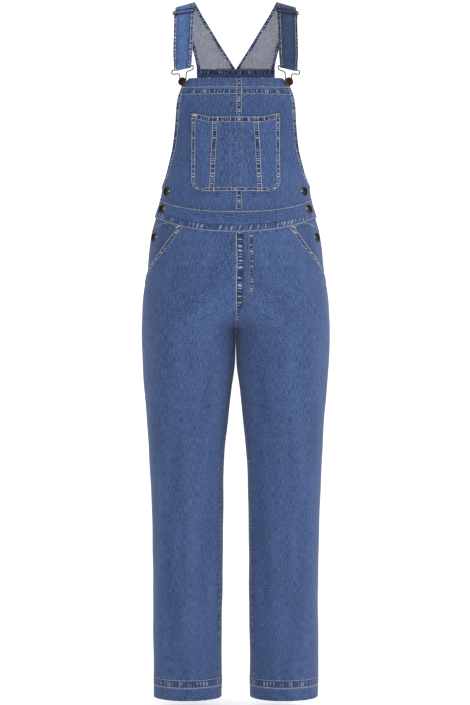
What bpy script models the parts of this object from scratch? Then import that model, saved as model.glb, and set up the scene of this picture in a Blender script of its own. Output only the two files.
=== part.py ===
"""Denim bib overalls, held open as they are worn. Metres, +Z up, the front faces -Y.

The origin lies between the shoulders, level with the underside of the straps where they bear.
Left and right are the wearer's, so left is +X.
"""
import math

import bmesh
import bpy
import numpy as np

CLOTH = 0.0014
SEAM_GAP = 0.0003
LAYER_GAP = 0.0006
HEM_CLOTH = 0.0028
HEM_DEPTH = 0.040
BIB_HEM_DEPTH = 0.033
FRONT_RISE_TOP = -0.4236
HEM_Z = -1.370
CROTCH_Z = -0.645
BIB_TOP = -0.155
BACK_BAND_TOP = -0.119
BACK_BAND_BOTTOM = -0.160
WAIST_TOP = -0.386
WAIST_DIP_TOP = 0.0264
WAIST_DIP_BOTTOM = 0.0307
SIDE_SEAM = 98.0
WAISTBAND_PROUD = 0.0006
WAISTBAND_INSIDE = 0.0016
CENTRE_TURN = 0.01

BUTTON_TURNS = 12
LEG_COLUMNS = 14
WIRE_RADIUS = 0.0011

# The form, a row for each height: half-width, inner edge of a leg, depth in front and behind, power.
FORM_COLUMNS = ("z", "outer", "inner", "front", "back", "power")
FORM = (
    (-0.100, 0.175, -0.175, 0.093, 0.100, 2.4),
    (-0.155, 0.174, -0.174, 0.106, 0.104, 2.4),
    (-0.200, 0.171, -0.171, 0.113, 0.104, 2.4),
    (-0.250, 0.166, -0.166, 0.115, 0.100, 2.4),
    (-0.300, 0.158, -0.158, 0.111, 0.094, 2.4),
    (-0.340, 0.149, -0.149, 0.106, 0.090, 2.4),
    (-0.360, 0.146, -0.146, 0.104, 0.090, 2.4),
    (-0.386, 0.1490, -0.1490, 0.105, 0.093, 2.4),
    (-0.420, 0.1584, -0.1584, 0.109, 0.101, 2.35),
    (-0.455, 0.1683, -0.1683, 0.113, 0.113, 2.3),
    (-0.491, 0.1733, -0.1733, 0.116, 0.126, 2.25),
    (-0.5385, 0.1772, -0.1600, 0.117, 0.136, 2.2),
    (-0.586, 0.1832, -0.0880, 0.114, 0.139, 2.15),
    (-0.6157, 0.1851, -0.0380, 0.111, 0.134, 2.1),
    (-0.635, 0.1860, -0.0090, 0.108, 0.127, 2.05),
    (-0.645, 0.1861, 0.0002, 0.107, 0.123, 2.05),
    (-0.705, 0.1841, 0.0010, 0.100, 0.108, 2.0),
    (-0.764, 0.1802, 0.0085, 0.094, 0.094, 2.0),
    (-0.824, 0.1752, 0.0149, 0.088, 0.083, 2.0),
    (-0.883, 0.1713, 0.0208, 0.083, 0.075, 2.0),
    (-0.942, 0.1683, 0.0238, 0.079, 0.073, 2.0),
    (-1.061, 0.1643, 0.0257, 0.074, 0.075, 2.0),
    (-1.180, 0.1629, 0.0267, 0.071, 0.075, 2.0),
    (-1.299, 0.1624, 0.0277, 0.069, 0.073, 2.0),
    (-1.400, 0.1616, 0.0290, 0.068, 0.072, 2.0),
)

# Edges of the panels, as the angle round the form from centre front at each height.
EDGE_COLUMNS = ("z", "angle")
BIB_EDGE = (
    (-0.155, 33.0), (-0.186, 37.2), (-0.247, 41.4), (-0.291, 46.9), (-0.306, 50.5), (-0.332, 60.0),
    (-0.358, 74.7), (-0.365, 88.0), (-0.371, 98.0), (-0.420, 98.0),
)
BACK_EDGE = (
    (-0.119, 157.4), (-0.160, 156.5), (-0.200, 153.7), (-0.260, 144.0), (-0.300, 132.5),
    (-0.334, 118.5), (-0.356, 108.0), (-0.371, 98.0), (-0.420, 98.0),
)
SLANT_EDGE = (
    (-0.440, 43.5), (-0.487, 58.0), (-0.527, 76.0), (-0.550, 91.0), (-0.560, 93.0),
)
SIDE_EDGE = (
    (-0.352, 98.0), (-0.505, 98.0), (-0.560, 93.0), (-0.700, 90.0), (-1.400, 88.0),
)
INSEAM_EDGE = (
    (-0.645, -90.0), (-0.764, -80.0), (-0.942, -70.0), (-1.400, -66.0),
)

# Soft folds in the trousers: middle, half-length, half-width in degrees, lean and depth of each.
FOLD_COLUMNS = ("side", "z", "angle", "length", "width", "lean", "depth")
FOLDS = (
    (1, -0.618, -34.0, 0.034, 26.0, 0.00060, 0.0024),
    (-1, -0.612, -31.0, 0.032, 28.0, 0.00050, 0.0026),
    (1, -0.980, 24.0, 0.210, 15.0, 0.0, 0.0030),
    (-1, -1.020, -14.0, 0.240, 16.0, 0.0, 0.0028),
    (1, -0.890, 180.0, 0.034, 42.0, 0.00035, 0.0044),
    (-1, -0.900, 186.0, 0.032, 46.0, -0.00030, 0.0040),
    (1, -0.655, 214.0, 0.030, 34.0, -0.00090, 0.0040),
    (-1, -0.662, 212.0, 0.028, 36.0, -0.00085, 0.0036),
)

# The chest pocket's half-width at each height, and the upper and lower place of its felled seams.
POCKET_COLUMNS = ("z", "half_width")
POCKET = (
    (-0.2247, 0.0848), (-0.300, 0.0853), (-0.354, 0.0860), (-0.363, 0.0835), (-0.3712, 0.0762),
    (-0.3750, 0.0660),
)
POCKET_TOP = -0.2247
POCKET_BOTTOM = -0.3750
POCKET_DIP = 0.0064
POCKET_LIFT = 0.0009
POCKET_SEAM_TOP = 0.0450
POCKET_SEAM_BOTTOM = 0.0520

# The run of each strap from the back band over the shoulder: middle, half-width, roll, yaw and bow.
STRAP_COLUMNS = ("s", "x", "y", "z", "half_width", "roll", "yaw", "bow")
STRAP_RUN = (
    (0.0, 0.0396, 0.0966, -0.1186, 0.0393, 0.0, -10.2, 0.0021),
    (1.0, 0.0500, 0.0935, -0.0950, 0.0336, 2.0, -11.0, 0.0018),
    (2.0, 0.0627, 0.0870, -0.0680, 0.0282, 5.0, -11.0, 0.0014),
    (3.0, 0.0745, 0.0755, -0.0440, 0.0242, 9.0, -10.0, 0.0008),
    (4.0, 0.0860, 0.0580, -0.0235, 0.0214, 13.0, -7.0, 0.0003),
    (5.0, 0.0935, 0.0380, -0.0105, 0.0200, 16.5, -3.0, 0.0),
    (6.0, 0.0980, 0.0180, -0.0034, 0.0195, 17.0, 0.0, 0.0),
    (7.0, 0.0990, 0.0000, -0.0016, 0.0195, 16.0, 0.0, 0.0),
    (8.0, 0.0995, -0.0180, -0.0054, 0.0195, 13.5, 3.0, 0.0),
    (9.0, 0.1003, -0.0350, -0.0160, 0.0195, 9.5, 7.0, 0.0),
    (10.0, 0.1010, -0.0505, -0.0320, 0.0195, 6.5, 11.0, 0.0),
    (11.0, 0.1015, -0.0645, -0.0530, 0.0195, 6.0, 14.0, 0.0),
    (12.0, 0.1020, -0.0760, -0.0770, 0.0195, 7.0, 16.0, 0.0),
    (13.0, 0.1025, -0.0860, -0.1030, 0.0195, 8.5, 17.0, 0.0),
    (14.0, 0.1025, -0.0955, -0.1360, 0.0172, 11.0, 18.0, 0.0),
)
BACK_STRAP_END = 5.6
STRAP_START = 4.4
SLIDE_AT = 9.80

# Half the height between the two layers of a strap where it turns round the buckle's bar.
LOOP_HEIGHT = 0.0022

BIB_BUTTON = (0.1020, -0.1625)
SIDE_BUTTONS = ((64.0, -0.3735), (66.0, -0.4080), (71.0, -0.4630))

DENIM = (0.063, 0.107, 0.238)
BRASS = (0.115, 0.083, 0.040)


def soft_slopes(at, value):
    """Slopes through a row of values that never overshoot them."""
    step = np.diff(value) / np.diff(at)
    slope = np.zeros(len(at))
    for i in range(1, len(at) - 1):
        if step[i - 1] * step[i] > 0:
            slope[i] = 2 * step[i - 1] * step[i] / (step[i - 1] + step[i])
    slope[0] = step[0]
    slope[-1] = step[-1]
    return slope


def look(rows, columns, name, place):
    """The value of a table's column at a place along its first column, with soft bends."""
    order = sorted(rows, key=lambda row: row[0])
    at = np.array([row[0] for row in order])
    value = np.array([row[columns.index(name)] for row in order])
    slope = soft_slopes(at, value)
    place = min(max(place, at[0]), at[-1])
    i = min(int(np.searchsorted(at, place, side="right")) - 1, len(at) - 2)
    width = at[i + 1] - at[i]
    t = (place - at[i]) / width
    near = value[i] * (1 + 2 * t) * (1 - t) ** 2 + width * slope[i] * t * (1 - t) ** 2
    far = value[i + 1] * t * t * (3 - 2 * t) + width * slope[i + 1] * t * t * (t - 1)
    return near + far


def dense(rows, columns, name, step=0.0015):
    """A column read at close steps, so that later readings are quick."""
    low = min(row[0] for row in rows)
    high = max(row[0] for row in rows)
    places = np.linspace(low, high, int((high - low) / step) + 2)
    return places, np.array([look(rows, columns, name, place) for place in places])


FORM_DENSE = {name: dense(FORM, FORM_COLUMNS, name) for name in FORM_COLUMNS[1:]}


def form(name, z):
    """One of the form's sizes at a height."""
    return float(np.interp(z, *FORM_DENSE[name]))


def edge(rows, z):
    """A panel edge's angle at a height."""
    return look(rows, EDGE_COLUMNS, "angle", z)


def signed_power(value, power):
    return math.copysign(abs(value) ** power, value)


def fold_depth(side, angle, z):
    """How deep the soft folds press the cloth in at a point."""
    depth = 0.0
    for row in FOLDS:
        fold = dict(zip(FOLD_COLUMNS, row))
        if fold["side"] != side:
            continue
        turn = (angle - fold["angle"] + 180.0) % 360.0 - 180.0
        along = (z - fold["z"] - fold["lean"] * turn) / fold["length"]
        depth += fold["depth"] * math.exp(-along * along - (turn / fold["width"]) ** 2)
    return depth


def form_point(side, angle, z):
    """A point of the form's surface on the +X side, before it is mirrored."""
    outer = form("outer", z)
    inner = form("inner", z)
    power = 2.0 / form("power", z)
    middle = (outer + inner) / 2
    half = (outer - inner) / 2
    turn = math.radians(angle)
    depth = form("front", z) if math.cos(turn) > 0 else form("back", z)
    across = half * signed_power(math.sin(turn), power)
    ahead = depth * signed_power(math.cos(turn), power)
    scale = 1.0 - fold_depth(side, angle, z) / math.hypot(across, ahead)
    return np.array((middle + across * scale, -ahead * scale, z))


def form_normal(side, angle, z):
    """The outward direction at a point of the form."""
    round_it = form_point(side, angle + 1.2, z) - form_point(side, angle - 1.2, z)
    up_it = form_point(side, angle, z + 0.003) - form_point(side, angle, z - 0.003)
    normal = np.cross(round_it, up_it)
    return normal / np.linalg.norm(normal)


def cloth_point(side, angle, z, inward=0.0):
    """A point below the form's surface by a depth, or above it where the depth is negative."""
    return form_point(side, angle, z) - form_normal(side, angle, z) * inward


def angle_at(x, z):
    """The angle in front at which the form of the body has a given distance from the middle."""
    share = min(1.0, abs(x) / form("outer", z))
    return math.copysign(math.degrees(math.asin(share ** (form("power", z) / 2))), x)


def centre_angle(z, front):
    """The angle at which a leg's form meets the middle of the body, or its inner edge below it."""
    outer = form("outer", z)
    inner = form("inner", z)
    middle = (outer + inner) / 2 - SEAM_GAP / 2
    half = (outer - inner) / 2
    share = min(1.0, middle / half)
    turn = -math.degrees(math.asin(signed_power(share, form("power", z) / 2)))
    return turn if front else 180.0 - turn


def colour(name, rgb, roughness, metallic):
    material = bpy.data.materials.new(name)
    material.use_nodes = True
    shader = material.node_tree.nodes["Principled BSDF"]
    shader.inputs["Base Color"].default_value = (*rgb, 1.0)
    shader.inputs["Roughness"].default_value = roughness
    shader.inputs["Metallic"].default_value = metallic
    material.diffuse_color = (*rgb, 1.0)
    return material


def add_body(name, points, faces, material):
    """Make one closed body with its faces pointing out."""
    mesh = bpy.data.meshes.new(name)
    shape = bmesh.new()
    corners = [shape.verts.new(tuple(point)) for point in points]
    for face in faces:
        shape.faces.new([corners[i] for i in face])
    bmesh.ops.recalc_face_normals(shape, faces=shape.faces[:])
    shape.to_mesh(mesh)
    shape.free()
    mesh.shade_smooth()
    mesh.set_sharp_from_angle(angle=math.radians(35))
    mesh.materials.append(material)
    item = bpy.data.objects.new(name, mesh)
    bpy.context.scene.collection.objects.link(item)
    return item


def wall(name, outside, inside, material):
    """Close the space between two grids of points, with the same diagonals on both faces."""
    rows = len(outside)
    columns = len(outside[0])
    count = rows * columns
    points = [p for row in outside for p in row] + [p for row in inside for p in row]
    faces = []
    for i in range(rows - 1):
        for j in range(columns - 1):
            a = i * columns + j
            b, c, d = a + 1, a + columns + 1, a + columns
            falling = math.dist(points[a], points[c]) <= math.dist(points[b], points[d])
            halves = ((a, b, c), (a, c, d)) if falling else ((a, b, d), (b, c, d))
            for half in halves:
                faces.append(half)
                faces.append(tuple(corner + count for corner in reversed(half)))
    rim = [j for j in range(columns)]
    rim += [i * columns + columns - 1 for i in range(1, rows)]
    rim += [(rows - 1) * columns + j for j in range(columns - 2, -1, -1)]
    rim += [i * columns for i in range(rows - 2, 0, -1)]
    for here, there in zip(rim, rim[1:] + rim[:1]):
        faces.append((here, there, there + count, here + count))
    return add_body(name, points, faces, material)


def mirrored(side, point):
    return (point[0] * side, point[1], point[2])


def kept_to_side(point):
    """Keep a point of the +X half off the middle by half a seam gap."""
    return np.array((max(point[0], SEAM_GAP / 2), point[1], point[2]))


def panel(name, side, rows, columns, place, depths, one_sided=True):
    """A panel whose points come from place(row, share), with its faces at two depths for each row."""
    outside = []
    inside = []
    shares = np.linspace(0.0, 1.0, columns)
    for row in rows:
        spots = [place(row, share) for share in shares]
        near, far = depths(row)
        for grid, depth in ((outside, near), (inside, far)):
            line = [cloth_point(side, angle, z, depth) for angle, z in spots]
            if one_sided:
                line = [kept_to_side(point) for point in line]
            grid.append([mirrored(side, point) for point in line])
    return wall(name, outside, inside, DENIM_CLOTH)


def ease(value):
    """A soft step from 0 to 1."""
    value = min(max(value, 0.0), 1.0)
    return value * value * (3 - 2 * value)


def waist_top(angle):
    """The height of the seam above the waistband, lower in front."""
    return WAIST_TOP - WAIST_DIP_TOP * max(0.0, math.cos(math.radians(angle))) ** 1.6


def waist_bottom(angle):
    """The height of the seam below the waistband, lower in front."""
    return FRONT_RISE_TOP - WAIST_DIP_BOTTOM * max(0.0, math.cos(math.radians(angle))) ** 2


def gap_angle(z):
    """The angle that a seam gap takes up."""
    reach = (form("outer", z) - form("inner", z)) / 4 + (form("front", z) + form("back", z)) / 4
    return math.degrees(SEAM_GAP / reach)


def heights(*stops):
    """Heights from a run of (height, steps to the next) stops."""
    found = []
    for (here, steps), (there, _) in zip(stops, stops[1:]):
        found += [here + (there - here) * i / steps for i in range(steps)]
    return found + [stops[-1][0]]


def build_bib(side, name):
    corner_drop = 0.013

    def place(z, share):
        angle = share * edge(BIB_EDGE, z)
        angle = max(angle, CENTRE_TURN)
        drop = corner_drop * ease((share - 0.80) / 0.20) * ease((z + 0.215) / 0.060)
        low = ease((-0.300 - z) / 0.085)
        bottom = waist_top(angle) + SEAM_GAP
        return angle, z - drop + low * (bottom - WAIST_TOP)

    def depths(z):
        return (0.0, HEM_CLOTH if z > BIB_TOP - BIB_HEM_DEPTH else CLOTH)

    step = BIB_TOP - BIB_HEM_DEPTH
    rows = heights((BIB_TOP, 3), (step + 0.0004, 1), (step - 0.0004, 3), (-0.300, 3), (-0.358, 2),
                   (-0.3715, 1), (WAIST_TOP, 1))
    return panel(name, side, rows, 12, place, depths)


def build_waistband_front():
    def place(share_down, share):
        angle = -SIDE_SEAM + 2 * SIDE_SEAM * share
        return angle, waist_top(angle) * (1 - share_down) + waist_bottom(angle) * share_down

    return panel("waistband_front", 1, (0.0, 0.5, 1.0), 29, place,
                 lambda row: (-WAISTBAND_PROUD, WAISTBAND_INSIDE), one_sided=False)


def build_waistband_back():
    start = SIDE_SEAM + 0.15

    def place(share_down, share):
        angle = start + (360 - 2 * start) * share
        return angle, WAIST_TOP * (1 - share_down) + FRONT_RISE_TOP * share_down

    return panel("waistband_back", 1, (0.0, 0.5, 1.0), 25, place,
                 lambda row: (-WAISTBAND_PROUD, WAISTBAND_INSIDE), one_sided=False)


def hem_depths(z):
    return (0.0, HEM_CLOTH if z < HEM_Z + HEM_DEPTH else CLOTH)


def leg_rows():
    step = HEM_Z + HEM_DEPTH
    return heights((FRONT_RISE_TOP, 3), (-0.487, 2), (-0.527, 1), (-0.550, 1), (-0.570, 2), (-0.6157, 1),
                   (-0.635, 1), (CROTCH_Z, 2), (-0.705, 3), (-0.824, 4), (-0.942, 2), (-1.061, 2),
                   (-1.200, 1), (step + 0.0004, 1), (step - 0.0004, 1), (HEM_Z, 1))


def build_leg_front(side, name):
    def place(z, share):
        start = edge(SLANT_EDGE, z) if z > -0.5605 else edge(SIDE_EDGE, z)
        start -= gap_angle(z) / 2
        end = max(centre_angle(z, True), edge(INSEAM_EDGE, z) + gap_angle(z))
        crowd = 1.0 + 0.6 * ease((z + 0.620) / 0.060)
        angle = start + (end - start) * share ** crowd
        fade = ease((z + 0.545) / 0.110)
        return angle, z + fade * (waist_bottom(angle) - FRONT_RISE_TOP) - SEAM_GAP * fade

    return panel(name, side, leg_rows(), LEG_COLUMNS, place, hem_depths)


def build_leg_back(side, name):
    def place(z, share):
        start = edge(SIDE_EDGE, z) + gap_angle(z) / 2
        end = centre_angle(z, False) if z > CROTCH_Z else 360 + edge(INSEAM_EDGE, z)
        angle = start + (end - start) * share
        return angle, z - SEAM_GAP * ease((z + 0.545) / 0.110)

    return panel(name, side, leg_rows(), LEG_COLUMNS, place, hem_depths)


def build_facing(side, name):
    def place(z, share):
        start = edge(SLANT_EDGE, z) - 8.0
        end = edge(SIDE_EDGE, z) - gap_angle(z)
        angle = start + (end - start) * share
        fade = ease((z + 0.545) / 0.110)
        return angle, z + fade * (waist_bottom(angle) - FRONT_RISE_TOP) - SEAM_GAP * fade

    def depths(z):
        under = CLOTH + LAYER_GAP + 0.0016 * ease((-0.490 - z) / 0.035)
        return (under, under + CLOTH)

    rows = heights((FRONT_RISE_TOP, 3), (-0.487, 2), (-0.527, 1), (-0.545, 1))
    return panel(name, side, rows, 10, place, depths)


def build_button_stand(side, name):
    def place(z, share):
        angle = 55.0 + 57.0 * share
        fade = ease((z + 0.420) / 0.056)
        return angle, z - 0.012 * fade * ease((angle - 70.0) / 20.0)

    def depths(z):
        under_band = WAISTBAND_INSIDE + LAYER_GAP
        under_facing = 2 * (CLOTH + LAYER_GAP) + 0.0026 * ease((-0.470 - z) / 0.035)
        near = under_band + (under_facing - under_band) * ease((-0.395 - z) / 0.020)
        return (near, near + CLOTH)

    rows = heights((-0.364, 2), (-0.395, 2), (-0.420, 3), (-0.500, 2), (-0.550, 1))
    return panel(name, side, rows, 10, place, depths)


def build_back(side, name):
    def place(z, share):
        start = edge(BACK_EDGE, z) + (0.15 if z < -0.369 else 0.0)
        end = 180.0 - CENTRE_TURN
        return start + (end - start) * share, z - SEAM_GAP * ease((z + 0.170) / 0.010) \
            + SEAM_GAP * ease((-0.376 - z) / 0.010)

    rows = heights((BACK_BAND_BOTTOM, 4), (-0.300, 3), (-0.356, 2), (-0.371, 1), (WAIST_TOP, 1))
    return panel(name, side, rows, 10, place, lambda row: (0.0, CLOTH))


def build_back_band():
    start = edge(BACK_EDGE, BACK_BAND_TOP)

    def place(z, share):
        return start + (360 - 2 * start) * share, z

    return panel("back_band", 1, heights((BACK_BAND_TOP, 3), (BACK_BAND_BOTTOM, 1)), 13, place,
                 lambda row: (0.0, HEM_CLOTH), one_sided=False)


def pocket_panel(name, low, high, columns):
    """A panel of the chest pocket between two shares of its width, seams at -1 and 1, edges at -2 and 2."""
    def across(share, z):
        slide = (POCKET_TOP - z) / (POCKET_TOP - POCKET_BOTTOM)
        seam = POCKET_SEAM_TOP + (POCKET_SEAM_BOTTOM - POCKET_SEAM_TOP) * slide
        width = look(POCKET, POCKET_COLUMNS, "half_width", z)
        size = abs(share)
        reach = seam * size if size <= 1 else seam + (width - seam) * (size - 1)
        return math.copysign(reach, share)

    def place(z, share):
        x = across(low + (high - low) * share, z)
        x += SEAM_GAP * (0.5 - share)
        dip = POCKET_DIP * (1 - ease((abs(x) - 0.046) / 0.036)) * ease((z + 0.300) / 0.075)
        return angle_at(x, z), z - dip

    rows = heights((POCKET_TOP, 6), (-0.354, 1), (-0.363, 1), (-0.3712, 1), (POCKET_BOTTOM, 1))
    return panel(name, 1, rows, columns, place, lambda row: (-POCKET_LIFT - CLOTH, -POCKET_LIFT),
                 one_sided=False)


def strap(name, place):
    """One of the strap run's sizes at a place along it."""
    return look(STRAP_RUN, STRAP_COLUMNS, name, place)


def strap_frame(place):
    """The middle of the strap, the direction across it to its outer edge, and its outward normal."""
    middle = np.array([strap(axis, place) for axis in "xyz"])
    ahead = np.array([strap(axis, place + 0.05) - strap(axis, place - 0.05) for axis in "xyz"])
    roll = math.radians(strap("roll", place))
    yaw = math.radians(strap("yaw", place))
    across = np.array((math.cos(roll) * math.cos(yaw), math.sin(yaw), -math.sin(roll)))
    normal = np.cross(ahead, across)
    normal /= np.linalg.norm(normal)
    if place <= 0.05:
        normal = np.array((normal[0], normal[1], 0.0)) / math.hypot(normal[0], normal[1])
    return middle, across, normal


def strap_point(place, share, height):
    middle, across, normal = strap_frame(place)
    bow = strap("bow", place) * (1 - share * share)
    return middle + across * strap("half_width", place) * share + normal * (height + bow)


def build_back_strap(side, name):
    """An arm of the V, from the back band to the shoulder."""
    places = np.linspace(0.0, BACK_STRAP_END, 15)
    shares = np.linspace(-1.0, 1.0, 6)
    grids = []
    for height in (CLOTH / 2, -CLOTH / 2):
        grid = [[kept_to_side(strap_point(place, share, height)) for share in shares] for place in places]
        grids.append([[mirrored(side, point) for point in row] for row in grid])
    return wall(name, grids[0], grids[1], DENIM_CLOTH)


def strap_length():
    """The distance along the strap at close steps, to place things on it by length."""
    places = np.linspace(0.0, 14.0, 561)
    points = np.array([[strap(axis, place) for axis in "xyz"] for place in places])
    steps = np.linalg.norm(np.diff(points, axis=0), axis=1)
    return places, np.concatenate(([0.0], np.cumsum(steps)))


STRAP_PLACES, STRAP_LENGTHS = strap_length()


def place_of(length):
    return float(np.interp(length, STRAP_LENGTHS, STRAP_PLACES))


def length_of(place):
    return float(np.interp(place, STRAP_PLACES, STRAP_LENGTHS))


def arc(length, height, radius, start, end, steps):
    """Points of an arc in the strap's own plane of length and height."""
    turns = np.radians(np.linspace(start, end, steps))
    return [(length + radius * math.cos(turn), height + radius * math.sin(turn)) for turn in turns]


def strap_path():
    """The strap's middle line as lengths and heights: down, round the buckle's bar and back to the slide."""
    start = length_of(STRAP_START)
    lap = length_of(BACK_STRAP_END)
    slide = length_of(SLIDE_AT)
    bar = length_of(14.0)
    under = 0.0
    path = [(length, CLOTH + LAYER_GAP) for length in np.linspace(start, lap + 0.002, 5)]
    path += [(lap + 0.010, under)]
    path += [(length, under) for length in np.linspace(lap + 0.018, bar - 0.014, 15)]
    path += [(bar - 0.006, under - 0.0003)]
    path += arc(bar, LOOP_HEIGHT - 0.0004, LOOP_HEIGHT, -90, 90, 6)
    over = CLOTH + SEAM_GAP
    path += [(bar - 0.006, LOOP_HEIGHT + 0.0012), (bar - 0.014, over + 0.0002)]
    path += [(length, over) for length in np.linspace(bar - 0.022, slide + 0.018, 9)]
    path += [(slide + 0.010, over + 0.0006), (slide + 0.004, over + 0.0022), (slide, over + 0.0032)]
    path += arc(slide - 0.008, over + 0.0022, 0.0022, 80, 270, 7)
    path += [(slide - 0.004, over), (slide + 0.001, over)]
    return path


def build_strap(side, name):
    """A strap doubled round the buckle's bar, with its end turned round the slide's middle bar."""
    path = np.array(strap_path())
    ahead = np.gradient(path, axis=0)
    ahead /= np.linalg.norm(ahead, axis=1)[:, None]
    left = np.stack((-ahead[:, 1], ahead[:, 0]), axis=1)
    grids = []
    for turn in (0.5, -0.5):
        grid = []
        for length, height in path + left * CLOTH * turn:
            place = place_of(length)
            beyond = max(0.0, length - STRAP_LENGTHS[-1])
            ends = [strap_point(place, share, height) for share in (-1.0, 1.0)]
            if beyond:
                _, across, normal = strap_frame(13.9)
                run = np.cross(across, normal)
                ends = [end + run * beyond for end in ends]
            grid.append([mirrored(side, end) for end in ends])
        grids.append(grid)
    return wall(name, grids[0], grids[1], DENIM_CLOTH)


def build_slide(side, name):
    """A flat strap slide: two end bars and a middle bar between two rails."""
    slide = length_of(SLIDE_AT)
    over = CLOTH + SEAM_GAP
    rows = ((0.0014, over + 0.0052), (-0.0008, over + 0.0052), (-0.0072, over + 0.0024), (-0.0088, over + 0.0020),
            (-0.0150, over + 0.0004), (-0.0170, over + 0.0002))
    edges = (-1.17, -1.045, 1.045, 1.17)
    half = 0.0008
    points = []
    for top in (half, -half):
        for length, height in rows:
            points += [mirrored(side, strap_point(place_of(slide + length), share, height + top))
                       for share in edges]
    count = len(rows) * len(edges)
    kept = [(i, j) for i in range(5) for j in range(3) if not (j == 1 and i in (1, 3))]
    faces = []
    for i, j in kept:
        a = i * 4 + j
        quad = (a, a + 1, a + 5, a + 4)
        faces += [quad, tuple(corner + count for corner in reversed(quad))]
        for shift, ends in (((-1, 0), (a, a + 1)), ((1, 0), (a + 4, a + 5)), ((0, -1), (a, a + 4)),
                            ((0, 1), (a + 1, a + 5))):
            if (i + shift[0], j + shift[1]) not in kept:
                faces.append((ends[0], ends[1], ends[1] + count, ends[0] + count))
    return add_body(name, points, faces, METAL)


def bib_button_frame():
    """The bib button's seat, with the directions across, up and out from the cloth."""
    x, z = BIB_BUTTON
    angle = angle_at(x, z)
    seat = form_point(1, angle, z)
    out = form_normal(1, angle, z)
    bar, across, _ = strap_frame(14.0)
    up = bar - seat
    up -= out * np.dot(up, out)
    up /= np.linalg.norm(up)
    return seat, np.cross(up, out), up, out


def build_buckle(side, name):
    """A closed wire: the bar in the strap's fold, two ears, and the loop under the button's cap."""
    seat, _, up, out = bib_button_frame()
    bar, across, normal = strap_frame(14.0)
    bar = bar + normal * (LOOP_HEIGHT - 0.0004)
    reach = float(np.dot(bar - seat, up))
    lift = float(np.dot(bar - seat, out))
    half = (
        (0.0190, reach, 1.0), (0.0216, reach - 0.0012, 1.0), (0.0226, reach - 0.0040, 1.0),
        (0.0216, reach - 0.0068, 0.9), (0.0188, reach - 0.0078, 0.8), (0.0110, reach - 0.0084, 0.55),
        (0.0078, reach - 0.0100, 0.4), (0.0066, reach - 0.0135, 0.2), (0.0064, 0.0030, 0.0),
        (0.0056, -0.0020, 0.0), (0.0034, -0.0054, 0.0),
    )
    rows = [(-u, v, k) for u, v, k in half] + [(0.0, -0.0064, 0.0)] + [(u, v, k) for u, v, k in reversed(half)]
    path = []
    flat = across - out * np.dot(across, out)
    flat /= np.linalg.norm(flat)
    for u, v, k in rows:
        sideways = across * k + flat * (1 - k)
        sideways /= np.linalg.norm(sideways)
        height = 0.0019 + (lift - 0.0019) * k
        path.append(seat + sideways * u + up * v + out * height)
    points = np.array(path)
    ahead = np.roll(points, -1, axis=0) - np.roll(points, 1, axis=0)
    faces = []
    ring_points = []
    sides = 6
    for point, step in zip(points, ahead):
        step = step / np.linalg.norm(step)
        lateral = np.cross(step, out)
        lateral /= np.linalg.norm(lateral)
        raised = np.cross(lateral, step)
        for i in range(sides):
            turn = 2 * math.pi * i / sides
            ring_points.append(mirrored(side, point + WIRE_RADIUS * (lateral * math.cos(turn)
                                                                     + raised * math.sin(turn))))
    rings = len(points)
    for i in range(rings):
        for j in range(sides):
            here = i * sides + j
            beside = i * sides + (j + 1) % sides
            there = (i + 1) % rings * sides + j
            across_there = (i + 1) % rings * sides + (j + 1) % sides
            faces.append((here, beside, across_there, there))
    return add_body(name, ring_points, faces, METAL)


def build_button(name, side, seat, out, profile):
    """A turned button standing on the cloth."""
    lateral = np.cross(out, (0.0, 0.0, 1.0))
    lateral /= np.linalg.norm(lateral)
    raised = np.cross(lateral, out)
    points = [seat + out * profile[0][1]]
    for radius, height in profile[1:-1]:
        for i in range(BUTTON_TURNS):
            turn = 2 * math.pi * i / BUTTON_TURNS
            points.append(seat + out * height + radius * (lateral * math.cos(turn) + raised * math.sin(turn)))
    points.append(seat + out * profile[-1][1])
    faces = []
    rings = len(profile) - 2
    for i in range(BUTTON_TURNS):
        j = (i + 1) % BUTTON_TURNS
        faces.append((0, 1 + j, 1 + i))
        for ring in range(rings - 1):
            low = 1 + ring * BUTTON_TURNS
            high = low + BUTTON_TURNS
            faces.append((low + i, low + j, high + j, high + i))
        top = 1 + (rings - 1) * BUTTON_TURNS
        faces.append((top + i, top + j, len(points) - 1))
    return add_body(name, [mirrored(side, point) for point in points], faces, METAL)


BIB_BUTTON_PROFILE = (
    (0.0, SEAM_GAP), (0.0040, SEAM_GAP), (0.0040, 0.0036), (0.0078, 0.0038), (0.0085, 0.0046),
    (0.0080, 0.0062), (0.0066, 0.0058), (0.0040, 0.0066), (0.0, 0.0069),
)
SIDE_BUTTON_PROFILE = (
    (0.0, SEAM_GAP), (0.0050, SEAM_GAP), (0.0052, 0.0009), (0.0080, 0.0011), (0.0085, 0.0019),
    (0.0080, 0.0034), (0.0066, 0.0030), (0.0040, 0.0038), (0.0, 0.0041),
)


def build_bib_button(side, name):
    seat, _, _, out = bib_button_frame()
    return build_button(name, side, seat, out, BIB_BUTTON_PROFILE)


def build_side_buttons(side, name):
    for number, (angle, z) in enumerate(SIDE_BUTTONS, start=1):
        proud = WAISTBAND_PROUD if number == 2 else 0.0
        sunk = CLOTH + LAYER_GAP if number == 3 else 0.0
        seat = cloth_point(side, angle, z, sunk - proud)
        build_button(f"{name}_{number}", side, seat, form_normal(side, angle, z), SIDE_BUTTON_PROFILE)


for old in list(bpy.data.objects):
    bpy.data.objects.remove(old, do_unlink=True)

DENIM_CLOTH = colour("denim", DENIM, 0.9, 0.0)
METAL = colour("antique_brass", BRASS, 0.42, 0.9)

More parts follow.
